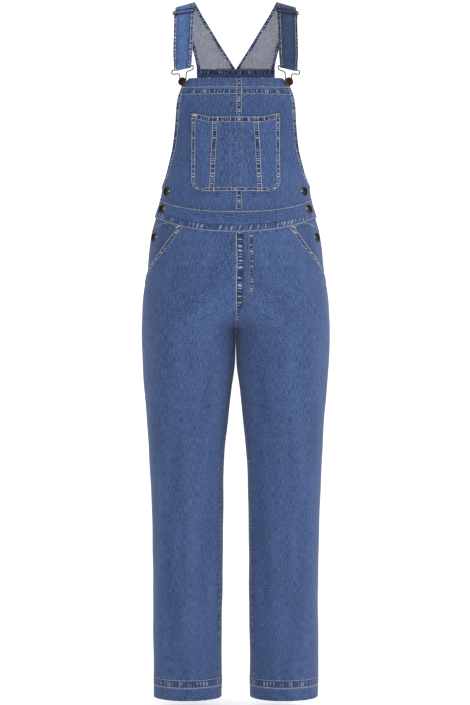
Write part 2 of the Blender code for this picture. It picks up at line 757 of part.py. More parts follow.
for wearer_side, word in ((1, "left"), (-1, "right")):
    build_bib(wearer_side, f"bib_{word}")
    build_leg_front(wearer_side, f"leg_front_{word}")
    build_leg_back(wearer_side, f"leg_back_{word}")
    build_facing(wearer_side, f"pocket_facing_{word}")
    build_button_stand(wearer_side, f"button_stand_{word}")
    build_back(wearer_side, f"back_{word}")
    build_back_strap(wearer_side, f"back_strap_{word}")
    build_strap(wearer_side, f"strap_{word}")
    build_slide(wearer_side, f"slide_{word}")
    build_buckle(wearer_side, f"buckle_{word}")
    build_bib_button(wearer_side, f"bib_button_{word}")
    build_side_buttons(wearer_side, f"side_button_{word}")

build_waistband_front()
build_waistband_back()
build_back_band()
pocket_panel("chest_pocket_left", 1.0, 2.0, 6)
pocket_panel("chest_pocket_centre", -1.0, 1.0, 9)
pocket_panel("chest_pocket_right", -2.0, -1.0, 6)
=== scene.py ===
# %% [markdown]
# # Denim bib overalls, held open as they are worn
# This lesson dresses a plain solid model of a pair of overalls. The solids have the true shape of
# each cut piece. Here each one gets a thin, softly creased shell of cloth, its raised seams and
# faded puckers with painted shade and highlight, every stitch, and its buttons and buckles.
#
# The first step loads the solids as a fixed frame. Nothing that is made later may move them.

# %% Load the solids
import math

import bmesh
import bpy
import numpy as np
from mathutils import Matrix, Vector


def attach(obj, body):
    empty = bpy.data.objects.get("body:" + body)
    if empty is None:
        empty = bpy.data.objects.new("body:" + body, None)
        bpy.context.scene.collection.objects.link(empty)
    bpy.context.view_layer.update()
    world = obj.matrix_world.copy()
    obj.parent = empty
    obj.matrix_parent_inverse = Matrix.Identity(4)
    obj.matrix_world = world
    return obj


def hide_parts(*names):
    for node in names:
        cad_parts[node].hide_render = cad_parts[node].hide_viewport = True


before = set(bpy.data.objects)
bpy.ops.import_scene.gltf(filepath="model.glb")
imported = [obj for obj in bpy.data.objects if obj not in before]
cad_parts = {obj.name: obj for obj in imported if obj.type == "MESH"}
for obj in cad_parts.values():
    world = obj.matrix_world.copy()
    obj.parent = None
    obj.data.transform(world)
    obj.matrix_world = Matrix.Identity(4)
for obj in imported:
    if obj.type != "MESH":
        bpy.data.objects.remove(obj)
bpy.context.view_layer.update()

# %% [markdown]
# ## The body that fills the cloth
# Worn cloth follows a body that isn't there. A mesh could be sculpted, but trousers, bib and bands
# must then meet by hand. A table is simpler: at each height it gives the half-width, the inner edge
# of a leg, the depth in front and behind, and how square the outline is. Every panel reads the same
# table, so neighbours always meet. Sizes are in metres, and the front faces -Y.

# %% Sizes of the cloth and the heights of its seams
CLOTH = 0.0014
SEAM_GAP = 0.0003
LAYER_GAP = 0.0006
HEM_CLOTH = 0.0028
BIB_HEM_DEPTH = 0.033
FRONT_RISE_TOP = -0.4236
HEM_Z = -1.370
CROTCH_Z = -0.645
BIB_TOP = -0.155
BACK_BAND_TOP = -0.119
BACK_BAND_BOTTOM = -0.160
WAIST_TOP = -0.386
WAIST_DIP_TOP = 0.0264
WAIST_DIP_BOTTOM = 0.0307
SIDE_SEAM = 98.0
WAISTBAND_PROUD = 0.0006
WAISTBAND_INSIDE = 0.0016
CENTRE_TURN = 0.01

# %% The form, a row for each height: half-width, inner edge of a leg, front, back and power
FORM = (
    (-0.100, 0.175, -0.175, 0.093, 0.100, 2.4), (-0.155, 0.174, -0.174, 0.106, 0.104, 2.4),
    (-0.200, 0.171, -0.171, 0.113, 0.104, 2.4), (-0.250, 0.166, -0.166, 0.115, 0.100, 2.4),
    (-0.300, 0.158, -0.158, 0.111, 0.094, 2.4), (-0.340, 0.149, -0.149, 0.106, 0.090, 2.4),
    (-0.360, 0.146, -0.146, 0.104, 0.090, 2.4), (-0.386, 0.1490, -0.1490, 0.105, 0.093, 2.4),
    (-0.420, 0.1584, -0.1584, 0.109, 0.101, 2.35), (-0.455, 0.1683, -0.1683, 0.113, 0.113, 2.3),
    (-0.491, 0.1733, -0.1733, 0.116, 0.126, 2.25), (-0.5385, 0.1772, -0.1600, 0.117, 0.136, 2.2),
    (-0.586, 0.1832, -0.0880, 0.114, 0.139, 2.15), (-0.6157, 0.1851, -0.0380, 0.111, 0.134, 2.1),
    (-0.635, 0.1860, -0.0090, 0.108, 0.127, 2.05), (-0.645, 0.1861, 0.0002, 0.107, 0.123, 2.05),
    (-0.705, 0.1841, 0.0010, 0.100, 0.108, 2.0), (-0.764, 0.1802, 0.0085, 0.094, 0.094, 2.0),
    (-0.824, 0.1752, 0.0149, 0.088, 0.083, 2.0), (-0.883, 0.1713, 0.0208, 0.083, 0.075, 2.0),
    (-0.942, 0.1683, 0.0238, 0.079, 0.073, 2.0), (-1.061, 0.1643, 0.0257, 0.074, 0.075, 2.0),
    (-1.180, 0.1629, 0.0267, 0.071, 0.075, 2.0), (-1.299, 0.1624, 0.0277, 0.069, 0.073, 2.0),
    (-1.400, 0.1616, 0.0290, 0.068, 0.072, 2.0),
)

# %% Edges of the panels, as the angle round the form from centre front at each height
BIB_EDGE = (
    (-0.155, 33.0), (-0.186, 37.2), (-0.247, 41.4), (-0.291, 46.9), (-0.306, 50.5), (-0.332, 61.0),
    (-0.345, 69.0), (-0.356, 78.5), (-0.365, 90.0), (-0.371, 98.0), (-0.420, 98.0),
)
BACK_EDGE = (
    (-0.119, 157.4), (-0.160, 156.5), (-0.200, 153.7), (-0.260, 144.0), (-0.300, 132.5),
    (-0.334, 118.5), (-0.356, 108.0), (-0.371, 98.0), (-0.420, 98.0),
)
SLANT_EDGE = (
    (-0.4236, 39.8), (-0.440, 44.3), (-0.487, 57.4), (-0.527, 76.4), (-0.550, 91.0), (-0.560, 93.0),
)
SIDE_EDGE = ((-0.352, 98.0), (-0.505, 98.0), (-0.560, 93.0), (-0.700, 90.0), (-1.400, 88.0))
INSEAM_EDGE = ((-0.645, -90.0), (-0.764, -80.0), (-0.942, -70.0), (-1.400, -66.0))


# %% [markdown]
# A table has a few rows, and the cloth needs a value at every height between them. Straight lines
# would leave facets and a plain spline can overshoot. Slopes that never pass the rows on either
# side give soft bends without a bulge.

# %% Read a table with soft bends
def soft_read(at, value, place):
    step = np.diff(value) / np.diff(at)
    slope = np.zeros(len(at))
    same = step[:-1] * step[1:] > 0
    slope[1:-1][same] = 2 * step[:-1][same] * step[1:][same] / (step[:-1][same] + step[1:][same])
    slope[0], slope[-1] = step[0], step[-1]
    place = np.clip(place, at[0], at[-1])
    i = np.clip(np.searchsorted(at, place, side="right") - 1, 0, len(at) - 2)
    width = at[i + 1] - at[i]
    t = (place - at[i]) / width
    near = value[i] * (1 + 2 * t) * (1 - t) ** 2 + width * slope[i] * t * (1 - t) ** 2
    return near + value[i + 1] * t * t * (3 - 2 * t) + width * slope[i + 1] * t * t * (t - 1)


def column(rows, number=1):
    """A table's column as a function of its first column."""
    rows = sorted(rows)
    at = np.array([row[0] for row in rows])
    value = np.array([row[number] for row in rows])
    return lambda place: soft_read(at, value, np.asarray(place, dtype=float))


def ease(value):
    """A soft step from 0 to 1."""
    value = np.clip(value, 0.0, 1.0)
    return value * value * (3 - 2 * value)


def signed_power(value, power):
    return np.sign(value) * np.abs(value) ** power


outer_at, inner_at, front_at, back_at, power_at = (column(FORM, n) for n in range(1, 6))
bib_edge, back_edge, slant_edge = column(BIB_EDGE), column(BACK_EDGE), column(SLANT_EDGE)
side_edge, inseam_edge = column(SIDE_EDGE), column(INSEAM_EDGE)
print("waist half-width at -0.400:", round(float(outer_at(-0.400)), 4))

# %% [markdown]
# ## Creases
# Denim this firm has few creases on a standing wearer, and the picture shows a nearly smooth leg
# with slow vertical shading. Cloth simulation would bring folds that aren't there, so each crease is
# given one by one: its middle, the way it runs, its length, width and depth. The first rows are the
# soft folds that the solids have too. The rest are finer: drag lines at the crotch and below the
# seat, short folds behind the knees, a slight break over each hem, and slow ripples down the legs.

# %% Folds of the solids: side, height, angle, half-length, half-width in degrees, lean and depth
FOLDS = (
    (1, -0.618, -34.0, 0.034, 26.0, 0.00060, 0.0012), (-1, -0.612, -31.0, 0.032, 28.0, 0.00050, 0.0013),
    (1, -0.980, 24.0, 0.210, 15.0, 0.0, 0.0030), (-1, -1.020, -14.0, 0.240, 16.0, 0.0, 0.0028),
    (1, -0.890, 180.0, 0.034, 42.0, 0.00035, 0.0044), (-1, -0.900, 186.0, 0.032, 46.0, -0.00030, 0.0040),
    (1, -0.655, 214.0, 0.030, 34.0, -0.00090, 0.0040), (-1, -0.662, 212.0, 0.028, 36.0, -0.00085, 0.0036),
)

# %% Finer creases: side, height, angle, turn from level, half-length, half-width, depth
CREASES = (
    (1, -0.628, -26.0, 38.0, 0.052, 0.0080, 0.0008), (-1, -0.624, -22.0, 33.0, 0.060, 0.0090, 0.0007),
    (1, -0.660, -30.0, 20.0, 0.036, 0.0070, 0.0006), (-1, -0.652, -34.0, 24.0, 0.042, 0.0075, 0.0007),
    (1, -0.598, -18.0, 48.0, 0.040, 0.0090, -0.0004), (-1, -0.596, -20.0, 44.0, 0.036, 0.0085, -0.0004),
    (1, -0.730, 12.0, 84.0, 0.150, 0.0130, 0.0010), (-1, -0.770, -8.0, 95.0, 0.170, 0.0140, 0.0011),
    (1, -0.860, 42.0, 92.0, 0.190, 0.0150, 0.0012), (-1, -0.880, 30.0, 87.0, 0.200, 0.0160, 0.0010),
    (1, -1.120, -8.0, 90.0, 0.180, 0.0130, 0.0011), (-1, -1.140, 22.0, 91.0, 0.170, 0.0120, 0.0012),
    (1, -1.050, 4.0, 89.0, 0.210, 0.0110, -0.0008), (-1, -1.060, 4.0, 90.0, 0.200, 0.0120, -0.0009),
    (1, -0.910, 10.0, 12.0, 0.040, 0.0110, 0.0007), (-1, -0.925, 6.0, -14.0, 0.045, 0.0110, 0.0008),
    (1, -1.305, 18.0, 7.0, 0.048, 0.0090, 0.0010), (-1, -1.298, -12.0, -9.0, 0.052, 0.0085, 0.0011),
    (1, -0.470, 38.0, -28.0, 0.045, 0.0090, 0.0006), (-1, -0.474, 34.0, -24.0, 0.040, 0.0090, 0.0007),
    (1, -0.520, 118.0, 28.0, 0.060, 0.0110, 0.0011), (-1, -0.512, 122.0, 22.0, 0.055, 0.0105, 0.0012),
    (1, -0.640, 196.0, -26.0, 0.060, 0.0085, 0.0022), (-1, -0.646, 192.0, -30.0, 0.055, 0.0085, 0.0020),
    (1, -0.676, 206.0, -16.0, 0.052, 0.0080, 0.0018), (-1, -0.682, 204.0, -20.0, 0.056, 0.0080, 0.0019),
    (1, -0.712, 188.0, -8.0, 0.040, 0.0090, 0.0010), (-1, -0.720, 184.0, -10.0, 0.036, 0.0090, 0.0009),
    (1, -0.876, 176.0, 9.0, 0.046, 0.0065, 0.0022), (-1, -0.884, 182.0, -8.0, 0.050, 0.0070, 0.0022),
    (1, -0.902, 190.0, -7.0, 0.040, 0.0065, 0.0019), (-1, -0.912, 170.0, 10.0, 0.044, 0.0065, 0.0018),
    (1, -0.930, 178.0, 5.0, 0.034, 0.0075, 0.0012), (-1, -0.936, 192.0, -5.0, 0.030, 0.0075, 0.0013),
    (1, -0.780, 170.0, 88.0, 0.090, 0.0130, 0.0011), (-1, -0.790, 186.0, 92.0, 0.085, 0.0130, 0.0012),
    (1, -1.120, 172.0, 91.0, 0.190, 0.0140, 0.0014), (-1, -1.100, 190.0, 88.0, 0.180, 0.0140, 0.0013),
    (1, -1.310, 176.0, -6.0, 0.044, 0.0085, 0.0013), (-1, -1.302, 182.0, 8.0, 0.046, 0.0090, 0.0012),
    (1, -0.258, 166.0, 66.0, 0.060, 0.0110, 0.0010), (-1, -0.262, 164.0, 62.0, 0.064, 0.0110, 0.0011),
    (1, -0.340, 150.0, 18.0, 0.040, 0.0090, 0.0010), (-1, -0.346, 146.0, 14.0, 0.044, 0.0090, 0.0009),
    (1, -0.206, 20.0, 4.0, 0.034, 0.0070, 0.0004), (-1, -0.209, 16.0, -6.0, 0.038, 0.0070, 0.0005),
    (1, -0.352, 58.0, -24.0, 0.034, 0.0080, 0.0007), (-1, -0.350, 60.0, -20.0, 0.036, 0.0080, 0.0007),
)

# %% Slow ripples: waves round the form, waves down a metre, start and height, for each side
RIPPLES = (
    (1, 3, 3.1, 0.4, 0.00040), (-1, 3, 2.7, 2.1, 0.00042),
    (1, 5, 5.3, 1.9, 0.00026), (-1, 5, 6.1, 0.2, 0.00025),
    (1, 8, 2.2, 4.4, 0.00022), (-1, 8, 2.5, 3.1, 0.00022),
    (1, 2, 11.0, 5.2, 0.00018), (-1, 2, 12.0, 1.3, 0.00018),
    (1, 13, 1.3, 0.9, 0.00014), (-1, 13, 1.1, 2.6, 0.00014),
)


# %% [markdown]
# A crease is measured in metres on the cloth, not in degrees, so that it keeps its width where the
# body is narrow. Creases and ripples fade out at the middle of the body, where the left and the
# right half meet in one seam.

# %% How far the cloth is pressed in at a point
LEG_RADIUS, BODY_RADIUS, CREASE_BOW = 0.082, 0.132, 1.6


def solid_fold(side, angle, z):
    depth = np.zeros(np.broadcast(angle, z).shape)
    for which, height, middle, length, width, lean, deep in FOLDS:
        turn = (angle - middle + 180.0) % 360.0 - 180.0
        along = (z - height - lean * turn) / length
        depth = depth + (side == which) * deep * np.exp(-along * along - (turn / width) ** 2)
    return depth


def fine_crease(side, angle, z):
    reach = np.where(z < CROTCH_Z, LEG_RADIUS, BODY_RADIUS)
    depth = np.zeros(np.broadcast(angle, z).shape)
    for which, height, middle, turn, length, width, deep in CREASES:
        beside = np.radians((angle - middle + 180.0) % 360.0 - 180.0) * reach
        above = z - height
        lean = math.radians(turn)
        along = beside * math.cos(lean) + above * math.sin(lean)
        across = -beside * math.sin(lean) + above * math.cos(lean) - CREASE_BOW * along * along
        shape = np.exp(-(along / length) ** 2 - (across / width) ** 2)
        depth = depth + (side == which) * deep * shape
    for which, turns, falls, start, high in RIPPLES:
        wave = np.sin(np.radians(angle) * turns + z * falls * 2 * math.pi + start)
        depth = depth + (side == which) * high * wave
    return depth


# %% [markdown]
# The form itself is a superellipse at each height, squarer at the chest than at the knee. A point is
# found from a side, an angle and a height. The side is +1 for the wearer's left and -1 for the right,
# and a point of the right half is mirrored last, so both halves use the same sums.

# %% A point of the form and the way it faces
CALM_START, CALM_WIDTH = 0.002, 0.022
NORMAL_TURN, NORMAL_RISE = 1.2, 0.003


def middle_and_half(z):
    """The middle of one half's outline at a height, and half of its width."""
    return (outer_at(z) + inner_at(z)) / 2, (outer_at(z) - inner_at(z)) / 2


def form_point(side, angle, z):
    angle, z = np.broadcast_arrays(np.asarray(angle, dtype=float), np.asarray(z, dtype=float))
    middle, half = middle_and_half(z)
    power, turn = 2.0 / power_at(z), np.radians(angle)
    depth = np.where(np.cos(turn) > 0, front_at(z), back_at(z))
    across = half * signed_power(np.sin(turn), power)
    ahead = depth * signed_power(np.cos(turn), power)
    calm = ease((np.abs(middle + across) - CALM_START) / CALM_WIDTH)
    pressed = solid_fold(side, angle, z) + calm * fine_crease(side, angle, z)
    scale = 1.0 - pressed / np.hypot(across, ahead)
    return np.stack((middle + across * scale, -ahead * scale, z), axis=-1)


def unit(vector):
    return vector / np.linalg.norm(vector, axis=-1, keepdims=True)


def form_normal(side, angle, z):
    round_it = form_point(side, angle + NORMAL_TURN, z) - form_point(side, angle - NORMAL_TURN, z)
    up_it = form_point(side, angle, z + NORMAL_RISE) - form_point(side, angle, z - NORMAL_RISE)
    return unit(np.cross(round_it, up_it))


def half_of(angle):
    """The half of the body that an angle from -180 to 360 degrees lies in, and its angle there."""
    around = (angle + 180.0) % 360.0 - 180.0
    return np.where(around < 0, -1.0, 1.0), np.abs(around)


def angle_at(x, z):
    """The angle in front at which the form has a given distance from the middle of the body."""
    middle, half = middle_and_half(z)
    share = np.clip((x - middle) / half, -1.0, 1.0)
    return np.degrees(np.arcsin(signed_power(share, power_at(z) / 2)))


def centre_angle(z, front):
    """The angle at which a leg's form meets the middle of the body, or its inner edge below it."""
    middle, half = middle_and_half(z)
    share = np.clip((middle - SEAM_GAP / 2) / half, -1.0, 1.0)
    turn = -np.degrees(np.arcsin(signed_power(share, power_at(z) / 2)))
    return turn if front else 180.0 - turn


def gap_angle(z):
    reach = (outer_at(z) - inner_at(z)) / 4 + (front_at(z) + back_at(z)) / 4
    return np.degrees(SEAM_GAP / reach)


def waist_top(angle):
    return WAIST_TOP - WAIST_DIP_TOP * np.maximum(0.0, np.cos(np.radians(angle))) ** 1.6


def waist_bottom(angle):
    return FRONT_RISE_TOP - WAIST_DIP_BOTTOM * np.maximum(0.0, np.cos(np.radians(angle))) ** 2


print("bib front at -0.250:", np.round(form_point(1, 0.0, -0.250), 4).tolist())

# %% [markdown]
# ## A panel is a closed, thin shell
# Each cut piece is a grid of points. Its columns crowd together near the seams, where the cloth
# bends sharply over folded allowances, and are wide apart in the middle. Spacing by length on the
# cloth, not by angle, keeps a seam's ridge the same width all the way down.

# %% Close steps beside a seam, and rows down a panel
EDGE_STEPS = np.array((
    0.0, 0.0006, 0.0013, 0.0022, 0.0034, 0.0048, 0.0064, 0.0080, 0.0093, 0.0105, 0.0120, 0.0140))
PLAIN_STEPS = np.array((0.0, 0.0008, 0.0022, 0.0050))


def rows_down(top, bottom, step, *close):
    """Heights from top to bottom with a wide step, and close rows in each (high, low, step)."""
    marks = [np.linspace(top, bottom, max(2, int((top - bottom) / step) + 2))]
    marks += [np.arange(min(high, top), max(low, bottom), -fine) for high, low, fine in close]
    found = []
    for mark in sorted(np.concatenate(marks), reverse=True):
        if not found or found[-1] - mark > 0.00045:
            found.append(mark)
    found[-1] = bottom
    return np.array(found)


def lay_grid(side, rows, place, left=EDGE_STEPS, right=EDGE_STEPS, middle=24):
    """Angles and heights of a panel's grid, with its columns set out by length."""
    rows = np.asarray(rows)[:, None]
    share = np.linspace(0.0, 1.0, 201)[None, :]
    angle, z = np.broadcast_arrays(*place(rows, share))
    half, turn = (side, angle) if side else half_of(angle)
    line = form_point(half, turn, z)
    if not side:
        line[..., 0] *= half
    length = np.linalg.norm(np.diff(line, axis=1), axis=2)
    run = np.concatenate((np.zeros((len(rows), 1)), np.cumsum(length, axis=1)), axis=1)
    found = []
    for along in run:
        total = along[-1]
        tight = min(1.0, total / (2.4 * max(left[-1] + right[-1], 1e-6)))
        inside = np.linspace(left[-1] * tight, total - right[-1] * tight, middle + 2)[1:-1]
        marks = np.concatenate((left * tight, inside, (total - right * tight)[::-1]))
        found.append(np.interp(marks, along, share[0]))
    return np.broadcast_arrays(*place(rows, np.array(found)))


# %% [markdown]
# From its angles and heights a panel gets points and normals, and the distance of each point from
# all four of its edges, measured on the cloth. Those distances place ridges, wear and stitches.
# A panel with side 0 crosses the middle of the body and takes each half's own creases. The weave's
# width is set by two mean radii, one for a leg and one for the body above it.

# %% Measure a panel
WEAVE_SPLIT, LEG_REACH, BODY_REACH = -0.56, 0.085, 0.14


def walked(points, axis):
    step = np.linalg.norm(np.diff(points, axis=axis), axis=2)
    start = np.zeros_like(np.take(step, [0], axis=axis))
    return np.concatenate((start, np.cumsum(step, axis=axis)), axis=axis)


def measure(side, angle, z, uv_turned=False):
    half, turn = (side, angle) if side else half_of(angle)
    point = form_point(half, turn, z)
    normal = form_normal(half, turn, z)
    if not side:
        point[..., 0] *= half
        normal[..., 0] *= half
    run, fall = walked(point, 1), walked(point, 0)
    reach = np.where(z < WEAVE_SPLIT, LEG_REACH, BODY_REACH)
    cloth = np.stack((np.radians(angle) * reach, z), axis=-1)
    return {
        "side": side, "z": z, "point": point, "normal": normal,
        "left": run, "right": run[:, -1:] - run,
        "top": fall, "bottom": fall[-1:] - fall, "level": z.max() - z,
        "uv": cloth[..., ::-1] if uv_turned else cloth,
        "flat": (float(run[:, -1].max()), float(fall[-1].max())),
    }


# %% [markdown]
# A felled seam is several layers thick between its two rows of stitches, so it stands proud, shrinks
# in the wash and puckers, and its high spots fade. One number describes where a point is in that
# strip: 0 on the first row of stitches and 1 on the second. The shell is raised there, and the
# material reads the same number, the count of puckers along the seam and the strength of the seam's
# wear and painted shade as one vector.

# %% The strip between two rows of stitches
RIDGE = 0.00055
RIDGE_START, RIDGE_END, RIDGE_SLOPE = -0.28, 1.02, 0.26
PUCKER = 0.0048


def strip(distance, near, far, run, wear, rise, pitch=PUCKER):
    """A strip between two rows: its place, its run in puckers, the strength of its wear and painted shade,
    and how far it stands up.
    """
    place = (distance - near) / (far - near)
    values = (run / pitch, wear, rise)
    return np.stack([place] + [np.broadcast_to(value, distance.shape) for value in values], axis=-1)


def seam(panel, edge, near, far, wear, rise, pitch=PUCKER):
    """The strip along one edge of a panel, with its puckers counted along that edge."""
    run = panel["z"] if edge in ("left", "right") else panel["left"]
    return strip(panel[edge], near, far, run, wear, rise, pitch)


def nearest_strip(strips, size):
    """At each point of a panel, the strip whose middle is nearest."""
    if not strips:
        return np.broadcast_to(np.array((9.0, 0.0, 0.0, 0.0)), size + (4,))
    strips = np.array(strips)
    away = np.abs(strips[..., 0] - 0.5) + 50.0 * (strips[..., 2] <= 0)
    pick = np.argmin(away, axis=0)
    return np.take_along_axis(strips, pick[None, ..., None], axis=0)[0]


def rise_of(seam):
    up = ease((seam[..., 0] - RIDGE_START) / RIDGE_SLOPE)
    down = ease((seam[..., 0] - RIDGE_END) / RIDGE_SLOPE)
    return RIDGE * seam[..., 3] * (up * (1 - down))


# %% Make a closed mesh from an outer and an inner grid of points
def face_outwards(mesh, sharp):
    """Turn every face outwards and shade smoothly, apart from edges sharper than an angle in degrees."""
    turned = bmesh.new()
    turned.from_mesh(mesh)
    bmesh.ops.recalc_face_normals(turned, faces=turned.faces)
    turned.to_mesh(mesh)
    turned.free()
    mesh.shade_smooth()
    mesh.set_sharp_from_angle(angle=math.radians(sharp))
    return mesh


def shell_mesh(name, outer, inner, uv, down, across, back_faces=1, tone=1.0):
    rows, columns = outer.shape[:2]
    count = rows * columns
    points = np.concatenate((outer.reshape(-1, 3), inner.reshape(-1, 3)))
    i, j = np.meshgrid(np.arange(rows - 1), np.arange(columns - 1), indexing="ij")
    a = (i * columns + j).ravel()
    face = np.stack((a, a + 1, a + columns + 1, a + columns), axis=1)
    rim = np.concatenate((np.arange(columns - 1), np.arange(rows - 1) * columns + columns - 1,
                          count - 1 - np.arange(columns - 1), (rows - 1 - np.arange(rows - 1)) * columns))
    after = np.roll(rim, -1)
    sides = np.stack((rim, rim + count, after + count, after), axis=1)
    faces = np.concatenate((face, face[:, ::-1] + count, sides))
    mesh = bpy.data.meshes.new(name)
    mesh.from_pydata(points.tolist(), [], faces.tolist())
    mesh.polygons.foreach_set("material_index", np.concatenate((
        np.zeros(len(face), int), np.broadcast_to(back_faces, (rows - 1, columns - 1)).ravel(),
        np.zeros(len(sides), int))).astype(np.int32))
    corner = np.empty(len(mesh.loops), dtype=np.int32)
    mesh.loops.foreach_get("vertex_index", corner)
    flat = np.concatenate((uv.reshape(-1, 2), uv.reshape(-1, 2)))
    mesh.uv_layers.new(name="cloth").data.foreach_set("uv", flat[corner].ravel())
    for label, seam in (("seam_down", down), ("seam_across", across)):
        values = np.ascontiguousarray(seam[..., :3]).reshape(-1, 3)
        layer = mesh.attributes.new(label, "FLOAT_VECTOR", "POINT")
        layer.data.foreach_set("vector", np.concatenate((values, values)).ravel())
    # tone is a piece's own tone; on the bib and the back band it also holds a painted shade.
    values = np.broadcast_to(np.asarray(tone, dtype=float), (rows, columns)).ravel()
    layer = mesh.attributes.new("tone", "FLOAT", "POINT")
    layer.data.foreach_set("value", np.concatenate((values, values)))
    return face_outwards(mesh, 42)


def add_object(name, mesh, *materials):
    item = bpy.data.objects.new(name, mesh)
    bpy.context.scene.collection.objects.link(item)
    for material in materials:
        mesh.materials.append(material)
    return item


# %% [markdown]
# ## Finishes
# Materials are built from nodes, so they stay sharp at any distance. Small helpers make a node and
# fill in its sockets, because a written-out tree is long and hard to follow without them. What two
# materials share is a node group, built once.

# %% Helpers for node trees
def fill(tree, made, inputs):
    """Fill a node's sockets: another socket is linked, and anything else is a plain value."""
    for key, value in inputs.items():
        socket = made.inputs[key]
        if isinstance(value, bpy.types.NodeSocket):
            tree.links.new(value, socket)
        else:
            socket.default_value = value


def node(tree, kind, inputs=None, **settings):
    made = tree.nodes.new(kind)
    for key, value in settings.items():
        setattr(made, key, value)
    fill(tree, made, inputs or {})
    return made


def maths(tree, operation, *values):
    return node(tree, "ShaderNodeMath", dict(enumerate(values)), operation=operation).outputs[0]


def soft_step(tree, value, low, high):
    """A smooth ramp from 0 at low to 1 at high."""
    made = node(tree, "ShaderNodeMapRange", {"Value": value, "From Min": low, "From Max": high},
                interpolation_type="SMOOTHSTEP")
    return made.outputs["Result"]


def soft_window(tree, value, up, down):
    """1 between a soft step up and a soft step down, each given by its low and high ends."""
    after = maths(tree, "SUBTRACT", 1.0, soft_step(tree, value, *down))
    return maths(tree, "MULTIPLY", soft_step(tree, value, *up), after)


def stretched(tree, vector, scale):
    return node(tree, "ShaderNodeVectorMath", {0: vector, 1: scale}, operation="MULTIPLY").outputs[0]


def noise(tree, vector, scale, detail, rough):
    made = node(tree, "ShaderNodeTexNoise", {
        "Vector": stretched(tree, vector, scale), "Scale": 1.0, "Detail": detail, "Roughness": rough})
    return made.outputs["Fac"]


def mixed(tree, share, low, high, blend="MIX"):
    made = node(tree, "ShaderNodeMix", {0: share, 6: low, 7: high}, data_type="RGBA", blend_type=blend)
    return made.outputs[2]


def bump(tree, height, strength, distance, **more):
    inputs = {"Height": height, "Strength": strength, "Distance": distance, **more}
    return node(tree, "ShaderNodeBump", inputs).outputs[0]


def attribute(tree, name, output):
    return node(tree, "ShaderNodeAttribute", attribute_name=name, attribute_type="GEOMETRY").outputs[output]


def new_group(name, inputs, outputs):
    tree = bpy.data.node_groups.new(name, "ShaderNodeTree")
    kinds = {"value": "NodeSocketFloat", "vector": "NodeSocketVector", "colour": "NodeSocketColor"}
    for label, kind, default in inputs:
        socket = tree.interface.new_socket(label, in_out="INPUT", socket_type=kinds[kind])
        if default is not None:
            socket.default_value = default
    for label, kind in outputs:
        tree.interface.new_socket(label, in_out="OUTPUT", socket_type=kinds[kind])
    return tree, tree.nodes.new("NodeGroupInput").outputs, tree.nodes.new("NodeGroupOutput")


def use_group(tree, group, **inputs):
    return node(tree, "ShaderNodeGroup", inputs, node_tree=group)


def new_material(name, slot_colour):
    """A material, its node tree and its shader."""
    material = bpy.data.materials.new(name)
    material.use_nodes = True
    material.diffuse_color = (*slot_colour, 1.0)
    return material, material.node_tree, material.node_tree.nodes["Principled BSDF"]


# %% [markdown]
# Denim is a twill: a blue warp shows on the right side and a pale weft on the wrong side, in fine
# diagonal lines under a millimetre apart. Washing brings out uneven yarns as short upright streaks,
# and a mottle a few millimetres across that is what the eye sees from a step away. The group takes
# the cloth's own coordinates in millimetres and two yarn colours, so both sides of the cloth use it.

# %% The weave, shared by every cloth
weave, given, result = new_group("Twill weave", (
    ("Cloth", "vector", None), ("Deep", "colour", (0.04, 0.07, 0.17, 1.0)),
    ("Pale", "colour", (0.1, 0.16, 0.33, 1.0)), ("Grain", "value", 1.0)),
    (("Colour", "colour"), ("Height", "value")))
twill = node(weave, "ShaderNodeTexWave", {
    "Vector": given["Cloth"], "Scale": 0.50, "Distortion": 0.35, "Detail": 1.0},
    wave_type="BANDS", bands_direction="DIAGONAL").outputs["Fac"]
mottle = noise(weave, given["Cloth"], (0.52, 0.42, 1.0), 3.0, 0.72)
slub = noise(weave, given["Cloth"], (0.90, 0.075, 1.0), 2.0, 0.55)
shadow = noise(weave, given["Cloth"], (0.030, 0.0055, 1.0), 2.0, 0.5)
grain = 0.5
for pattern, weight in ((mottle, 1.9), (slub, 1.2), (twill, 0.16), (shadow, 0.36)):
    grain = maths(weave, "MULTIPLY_ADD", maths(weave, "SUBTRACT", pattern, 0.5), weight, grain)
grain = maths(weave, "MULTIPLY_ADD", maths(weave, "SUBTRACT", grain, 0.5), given["Grain"], 0.5)
grain = node(weave, "ShaderNodeClamp", {"Value": grain}).outputs[0]
fill(weave, result, {
    "Colour": mixed(weave, grain, given["Deep"], given["Pale"]),
    "Height": maths(weave, "MULTIPLY_ADD", mottle, 0.6, maths(weave, "MULTIPLY", twill, 0.5))})
print("nodes in the weave:", len(weave.nodes))
